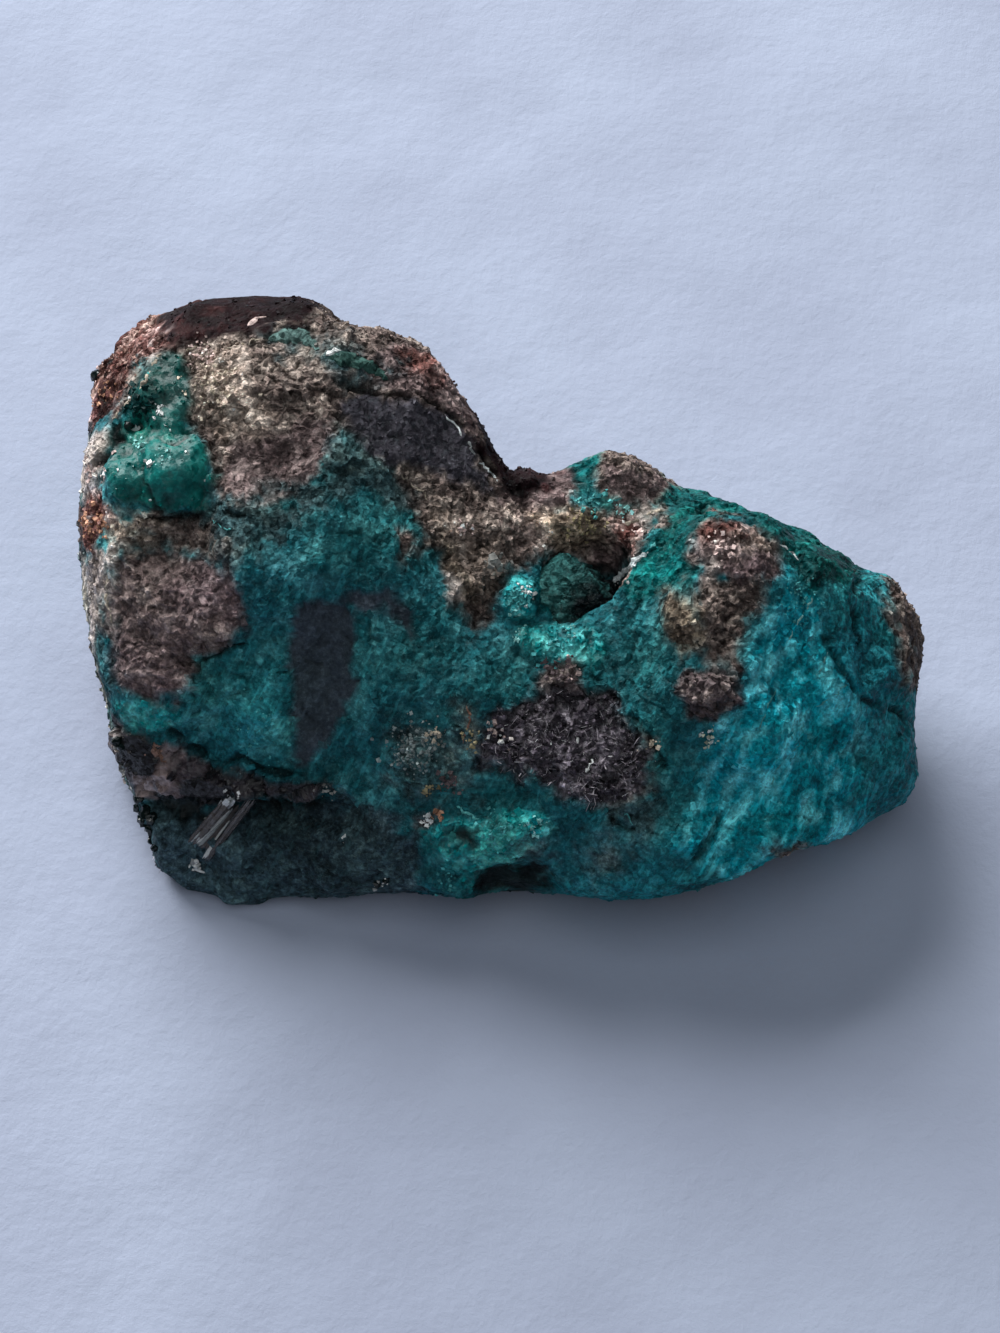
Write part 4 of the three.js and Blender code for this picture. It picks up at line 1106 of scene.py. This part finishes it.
def vein_widths(half_width, count, rng):
    """The half widths along a stretch of a mark, in mm."""
    if half_width > WIDE:
        crown = np.sin(np.pi * (np.arange(count) + 0.5) / count)
        return half_width * (0.2 + crown) * (0.9 + 0.2 * rng.random(count))
    widths = half_width * (0.5 + 0.8 * rng.random(count))
    widths[[0, -1]] *= 0.3
    return widths


def add_veins(seen, rng):
    """Thin pale ribs that follow the stone's surface, the narrow ones broken here and there."""
    veins = Joined()
    for vein in VEINS:
        hits = vein_places(vein.path, seen, rng)
        start = 0
        while start < len(hits) - SHORTEST:
            length = int(rng.integers(*STRETCH_STEPS)) if vein.width < UNBROKEN else len(hits)
            run = hits[start:start + length]
            start += length + int(rng.integers(*GAP_STEPS))
            if len(run) < SHORTEST:
                continue
            places, normals = (np.array(values) for values in zip(*run))
            widths = vein_widths(vein.width, len(run), rng)
            shade = 1.0 if vein.width > UNBROKEN else 0.55 + 0.4 * rng.random()
            veins.add(*tube(places, normals, widths, VEIN_FLATNESS), vein.colour * shade)
    veins.settle("veins", (0.5, 0.6))


# The smoky crystal lying on the foot is made of bundles of thin blades. Each bundle spreads from a first to a
# last blade, given by their ends in photograph pixels. Half width and height off the stone are in mm.
Bundle = namedtuple("Bundle", "first last count half_width height colours")
# The near-white blades are painted highlights on the glass.
PAINTED_HIGHLIGHT, SMOKE, EDGE, DUSKY = srgb(250, 253, 253), srgb(96, 90, 90), srgb(190, 196, 198), srgb(34, 32, 33)
BUNDLES = [Bundle(*row) for row in [
    ([(221, 803), (187, 840)], [(241, 803), (204, 848)], 12, 0.26, 0.55, [SMOKE, SMOKE, DUSKY, EDGE, SMOKE]),
    ([(223, 803), (190, 838)], [(237, 806), (201, 845)], 8, 0.13, 0.95, [EDGE, DUSKY, SMOKE, PAINTED_HIGHLIGHT, EDGE]),
    ([(222, 802), (212, 814)], [(236, 797), (226, 808)], 6, 0.20, 1.25, [PAINTED_HIGHLIGHT, PAINTED_HIGHLIGHT, SMOKE]),
    ([(250, 797), (203, 857)], [(258, 799), (209, 861)], 5, 0.13, 0.40, [EDGE, DUSKY, SMOKE]),
    ([(231, 821), (204, 858)], [(232, 822), (206, 859)], 2, 0.17, 1.10, [PAINTED_HIGHLIGHT]),
    ([(191, 861), (197, 866)], [(196, 867), (203, 872)], 4, 0.16, 0.45, [PAINTED_HIGHLIGHT, EDGE]),
]]
BLADE_STATIONS = np.array([0.0, 0.08, 0.35, 0.65, 0.92, 1.0])
BLADE_TAPER = np.array([0.10, 0.70, 1.0, 0.95, 0.70, 0.10])
BLADE_FLATNESS = 0.8
BLADE_SCATTER = 1.6  # pixels
BUNDLE_CROWN = 0.5  # mm that a bundle's middle blades stand above its outer ones


def add_shard(seen, rng):
    """The smoky crystal's blades, each with its own length, width and colour."""
    shard = Joined()
    for bundle in BUNDLES:
        for share in np.linspace(0.0, 1.0, bundle.count):
            ends = (1.0 - share) * np.array(bundle.first) + share * np.array(bundle.last)
            ends += BLADE_SCATTER * rng.normal(size=(2, 2))
            start, end = (seen.at(*place)[0] for place in ends)
            height = bundle.height + BUNDLE_CROWN * math.sin(math.pi * share)
            places = start + BLADE_STATIONS[:, None] * (end - start) + height * TO_EYE
            widths = bundle.half_width * (0.6 + 0.8 * rng.random()) * BLADE_TAPER
            blade = tube(places, np.tile(TO_EYE, (len(places), 1)), widths, BLADE_FLATNESS)
            shard.add(*blade, bundle.colours[rng.integers(len(bundle.colours))])
    shard.settle("smoky_shard", (0.12, 0.3), smoky_glass().name)


# Black glossy crystals, most at the left end: places in photograph pixels and radii in mm.
BEADS = [
    ((117, 740), 0.5), ((122, 748), 0.4), ((139, 798), 0.5), ((137, 807), 0.55), ((146, 811), 0.6),
    ((142, 822), 0.55), ((150, 830), 0.6), ((146, 840), 0.5), ((155, 847), 0.45), ((152, 818), 0.6),
    ((378, 884), 0.4), ((386, 880), 0.35), ((129, 426), 0.5), ((97, 376), 0.55),
]
BLACK_GREEN = srgb(14, 26, 26)


def ball(subdivisions):
    """The points and faces of a round ball of radius 1."""
    shape = bmesh.new()
    bmesh.ops.create_icosphere(shape, subdivisions=subdivisions, radius=1.0)
    points = np.array([tuple(vertex.co) for vertex in shape.verts])
    faces = [tuple(vertex.index for vertex in face.verts) for face in shape.faces]
    shape.free()
    return points, faces


def add_beads(seen, rng):
    """Black glossy crystals with uneven faces."""
    corners, faces = ball(2)
    beads = Joined()
    for place, radius in BEADS:
        uneven = 1.0 + 0.6 * smooth_noise(corners + 9.0 * rng.random(3), 0.7)
        beads.add(seen.at(*place)[0] + radius * corners * uneven[:, None], faces, BLACK_GREEN)
    beads.settle("dark_beads", (0.14, 0.0), "green_glass")


# The dark green dome in the hollow under the saddle: where its lower edge rests, in photograph pixels, and
# its radius in mm. Painted shade makes it darker towards its right and lower side.
DOME_FOOT = (564, 624)
DOME_RADIUS = 3.3
DOME_SQUASH = np.array([1.30, 1.05, 0.90])
DOME_RISE, DOME_SUNK = 0.75, 0.95  # radii up the photograph from its foot, and away from the camera
DOME_DARK, DOME_LIGHT = srgb(6, 14, 18), srgb(52, 104, 102)
DOME_TONE = (0.42, dict(patchy=0.3, fine=0.4, wisps=0.5, painted_shade_side=-1.0))
DOME_ROUGH = np.array([1.5, 0.4, 0.2, 0.15])  # mm, by broad bumps, small flakes, grains and fine bumps
DOME_PAINTED_SHADE_SIDE = np.array([0.8, 0.0, 0.0]) - 0.5 * SHOW_UP


def add_dome(seen):
    """A dark green rounded lump, half sunk in its hollow."""
    corners, faces = ball(6)
    texture = Texture(DOME_RADIUS * corners)
    # Painted shade: the dome's tone falls towards its right and lower side.
    texture.levels["painted_shade_side"] = corners @ DOME_PAINTED_SHADE_SIDE
    rough = DOME_ROUGH @ np.stack([texture.broad, texture.small_flakes, texture.grains, texture.fine])
    uneven = 1.0 + rough / DOME_RADIUS
    centre = seen.at(*DOME_FOOT)[0] + DOME_RADIUS * (DOME_RISE * SHOW_UP - DOME_SUNK * TO_EYE)
    tints = DOME_DARK + (DOME_LIGHT - DOME_DARK) * texture.tone(*DOME_TONE)
    points = centre + DOME_RADIUS * DOME_SQUASH * corners * uneven[:, None]
    piece_of("dark_dome", points, faces, tints, (0.5, 0.9))


# ---- Shader building ----
class Shader:
    """Short calls for the nodes of one material. Sizes are in mm."""

    def __init__(self, name):
        self.material = bpy.data.materials.new(name)
        self.material.use_nodes = True
        self.surface = self.material.node_tree.nodes["Principled BSDF"]
        self.place = self.scaled(self.node("TexCoord", {}, "Object"), 1.0 / MM)

    def feed(self, socket, value):
        """A socket takes another node's output, or a plain value."""
        if isinstance(value, bpy.types.NodeSocket):
            self.material.node_tree.links.new(value, socket)
        else:
            socket.default_value = value

    def node(self, kind, inputs, output=0, **settings):
        """The output of a new node with these inputs and settings."""
        node = self.material.node_tree.nodes.new("ShaderNode" + kind)
        for key, value in settings.items():
            setattr(node, key, value)
        for key, value in inputs.items():
            self.feed(node.inputs[key], value)
        return node.outputs[output]

    def scaled(self, vector, factor):
        """A vector or colour times a number."""
        return self.node("VectorMath", {0: vector, "Scale": factor}, operation="SCALE")

    def vector_math(self, operation, first, second):
        """Two vectors brought together: a number for a dot product, and a vector otherwise."""
        output = "Value" if operation == "DOT_PRODUCT" else 0
        return self.node("VectorMath", {0: first, 1: second}, output, operation=operation)

    def math(self, operation, first, second=0.0):
        """Two numbers brought together."""
        return self.node("Math", {0: first, 1: second}, operation=operation)

    def noise(self, size, detail=3.0, roughness=0.6, place=None):
        """Soft bumps from 0 to 1."""
        return self.node("TexNoise", {"Vector": place or self.place, "Scale": 1.0 / size, "Detail": detail,
                                      "Roughness": roughness}, "Fac")

    def facets(self, size):
        """Small flat faces, each tilted its own way: their height, and a number for each face."""
        cells = self.node("TexVoronoi", {"Vector": self.place, "Scale": 1.0 / size}).node.outputs
        from_middle = self.vector_math("SUBTRACT", self.scaled(self.place, 1.0 / size), cells["Position"])
        tilt = self.vector_math("SUBTRACT", cells["Color"], (0.5, 0.5, 0.5))
        number = self.node("SeparateColor", {0: cells["Color"]})
        return self.vector_math("DOT_PRODUCT", from_middle, tilt), number

    def range(self, value, low, high, to_low=0.0, to_high=1.0):
        """A value between low and high brought to between two others."""
        return self.node("MapRange", {"Value": value, "From Min": low, "From Max": high, "To Min": to_low,
                                      "To Max": to_high})

    def mix(self, share, first, second):
        """Colours mixed: first where share is 0, second where it is 1."""
        return self.node("Mix", {0: share, 6: first, 7: second}, 2, data_type="RGBA")

    def attribute(self, name, output="Fac"):
        """What is kept at the mesh's points under that name."""
        return self.node("Attribute", {}, output, attribute_name=name)

    def bump(self, height, depth, strength=1.0):
        """Relief of the given depth in mm, from a height of 0 to 1."""
        return self.node("Bump", {"Distance": depth * MM, "Strength": strength, "Height": height}, "Normal")


# Sizes in mm in the minerals' material, and how strong its parts are.
SPECKLE_SIZE, FACET_SIZE, LINE_SIZE, STREAK_SIZE = 0.36, 0.55, 1.3, 0.62
SPECKLE_CONTRAST, FACET_CONTRAST, CONTRAST = 0.65, 0.45, 1.35
LINE_WIDTH = 0.013
FLECK_STRENGTH, LINE_STRENGTH, STREAK_STRENGTH = 0.45, 0.9, 0.55
RUN_SHARE = 0.84  # how far the streaks are drawn out
GRIT_DEPTH, GRIT_STRENGTH = 1.2, 0.9


def mineral_material(name, specular):
    """The minerals' colours from the points, with speckle, flecks and relief in proportion to their grit."""
    s = Shader(name)
    tint, grit = s.attribute("tint", "Color"), s.attribute("grit")
    speckle = s.noise(SPECKLE_SIZE, 3.0, 0.66)
    height, face = s.facets(FACET_SIZE)
    contrast = s.math("ADD", s.range(speckle, 0.34, 0.66, -SPECKLE_CONTRAST, SPECKLE_CONTRAST),
                      s.range(face, 0.0, 1.0, -FACET_CONTRAST, FACET_CONTRAST))
    shade = s.math("POWER", 2.0, s.math("MULTIPLY", contrast, s.math("MULTIPLY", grit, CONTRAST)))

    winding = s.math("ABSOLUTE", s.math("SUBTRACT", s.noise(LINE_SIZE, 4.0, 0.62), 0.5))
    line = s.math("MULTIPLY", s.range(winding, 0.0, LINE_WIDTH, 1.0, 0.0), LINE_STRENGTH)
    fleck = s.math("MAXIMUM", s.range(speckle, 0.63, 0.70), line)
    fleck = s.math("MULTIPLY", fleck, s.math("MULTIPLY", grit, FLECK_STRENGTH))
    pale = s.vector_math("ADD", s.scaled(tint, 1.6), (0.10, 0.14, 0.13))
    colour = s.mix(fleck, s.scaled(tint, shade), pale)

    along = s.math("MULTIPLY", s.vector_math("DOT_PRODUCT", s.place, tuple(GRAIN_RUNS)), RUN_SHARE)
    grain = s.node("CombineXYZ", dict(enumerate(GRAIN_RUNS)))
    drawn = s.vector_math("SUBTRACT", s.place, s.scaled(grain, along))
    streak = s.range(s.noise(STREAK_SIZE, 3.0, 0.6, drawn), 0.55, 0.66, 0.0, STREAK_STRENGTH)
    bright = s.vector_math("ADD", s.scaled(tint, 2.2), (0.01, 0.06, 0.06))
    colour = s.mix(s.math("MULTIPLY", streak, s.attribute("streaked")), colour, bright)

    relief = s.math("ADD", height, s.math("MULTIPLY", speckle, 0.35))
    s.feed(s.surface.inputs["Base Color"], colour)
    uneven = s.range(face, 0.0, 1.0, -0.12, 0.10)
    s.feed(s.surface.inputs["Roughness"], s.math("ADD", s.attribute("shine"), uneven))
    s.feed(s.surface.inputs["Normal"], s.bump(relief, GRIT_DEPTH, s.math("MULTIPLY", grit, GRIT_STRENGTH)))
    s.surface.inputs["Specular IOR Level"].default_value = specular
    return s.material


def smoky_glass():
    """Clear, slightly smoky crystal with fine growth lines."""
    s = Shader("smoky_glass")
    s.feed(s.surface.inputs["Base Color"], s.attribute("tint", "Color"))
    s.surface.inputs["Transmission Weight"].default_value = 0.30
    s.surface.inputs["IOR"].default_value = 1.55
    s.feed(s.surface.inputs["Roughness"], s.range(s.noise(1.2), 0.3, 0.7, 0.03, 0.30))
    s.feed(s.surface.inputs["Normal"], s.bump(s.noise(0.9, 4.0), 0.6))
    return s.material


# ---- The setting ----
FLOOR_REACH = 1.6  # metres
PAPER_DARK, PAPER_LIGHT = (*srgb(172, 181, 203), 1.0), (*srgb(180, 190, 212), 1.0)


def paper_material():
    """Pale matt paper, a little uneven in colour and relief."""
    s = Shader("paper")
    cloudy = s.range(s.noise(28.0, 2.0, 0.5), 0.35, 0.65)
    s.feed(s.surface.inputs["Base Color"], s.mix(cloudy, PAPER_DARK, PAPER_LIGHT))
    s.surface.inputs["Roughness"].default_value = 0.9
    s.surface.inputs["Specular IOR Level"].default_value = 0.2
    relief = s.math("ADD", s.math("MULTIPLY", s.noise(1.6, 4.0, 0.65), 0.10), s.noise(34.0, 3.0, 0.5))
    s.feed(s.surface.inputs["Normal"], s.bump(relief, 1.2))
    return s.material


def paper_floor():
    """A pale floor that fills the view, like a sheet of paper."""
    reach = FLOOR_REACH
    mesh = bpy.data.meshes.new("floor")
    mesh.from_pydata([(-reach, -reach, 0), (reach, -reach, 0), (reach, reach, 0), (-reach, reach, 0)], [],
                     [(0, 1, 2, 3)])
    floor = bpy.data.objects.new("floor", mesh)
    bpy.context.collection.objects.link(floor)
    mesh.materials.append(paper_material())
    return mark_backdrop(floor)


def soft_light(name, settings):
    """A square soft light that faces the stone."""
    data = bpy.data.lights.new(name, "AREA")
    data.size, data.energy, data.color = settings.size, settings.power, settings.colour
    light = bpy.data.objects.new(name, data)
    light.location = Vector(direction(settings)) * settings.distance
    light.rotation_euler = (Vector(LIT_POINT) - light.location).to_track_quat("-Z", "Y").to_euler()
    bpy.context.collection.objects.link(light)


def lighting():
    """The soft lights, the room's faint light and a plain view transform."""
    world = bpy.data.worlds.new("room")
    world.use_nodes = True
    background = world.node_tree.nodes["Background"]
    background.inputs["Color"].default_value = ROOM_COLOUR
    background.inputs["Strength"].default_value = ROOM_STRENGTH
    bpy.context.scene.world = world
    for name, settings in SOFT_LIGHTS.items():
        soft_light(name, settings)
    view = bpy.context.scene.view_settings
    view.view_transform = "Standard"
    view.look = "None"


def camera():
    """The photograph's camera: its frame is as high as the show plane's, at the show distance."""
    data = bpy.data.cameras.new("camera")
    data.sensor_fit = "VERTICAL"
    data.sensor_height = SENSOR
    data.lens = SENSOR * SHOW_DISTANCE / (FRAME_PX[1] / PX_PER_MM)
    data.clip_start = 0.01
    eye = bpy.data.objects.new("camera", data)
    eye.location = Vector((SHOW_CENTRE + TO_EYE * SHOW_DISTANCE) * MM)
    eye.rotation_euler = (math.radians(90.0 - SHOW_SLOPE), 0.0, 0.0)
    bpy.context.collection.objects.link(eye)
    bpy.context.scene.camera = eye


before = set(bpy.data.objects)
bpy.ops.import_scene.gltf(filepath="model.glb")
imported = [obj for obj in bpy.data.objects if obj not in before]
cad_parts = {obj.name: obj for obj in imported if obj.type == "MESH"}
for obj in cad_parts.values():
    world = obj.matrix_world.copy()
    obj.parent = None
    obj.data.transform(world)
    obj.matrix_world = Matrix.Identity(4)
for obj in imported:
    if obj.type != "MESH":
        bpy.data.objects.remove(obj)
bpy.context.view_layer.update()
camera()
lighting()
paper_floor()
chance = np.random.default_rng(SEED)
stone, stone_surface = fine_stone(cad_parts[NODE], chance)
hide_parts(NODE)
grow_crystals(stone_surface, chance)
seen_stone = SeenStone(stone)
add_glints(seen_stone, chance)
add_clusters(stone_surface, chance)
add_veins(seen_stone, chance)
add_shard(seen_stone, chance)
add_beads(seen_stone, chance)
add_dome(seen_stone)
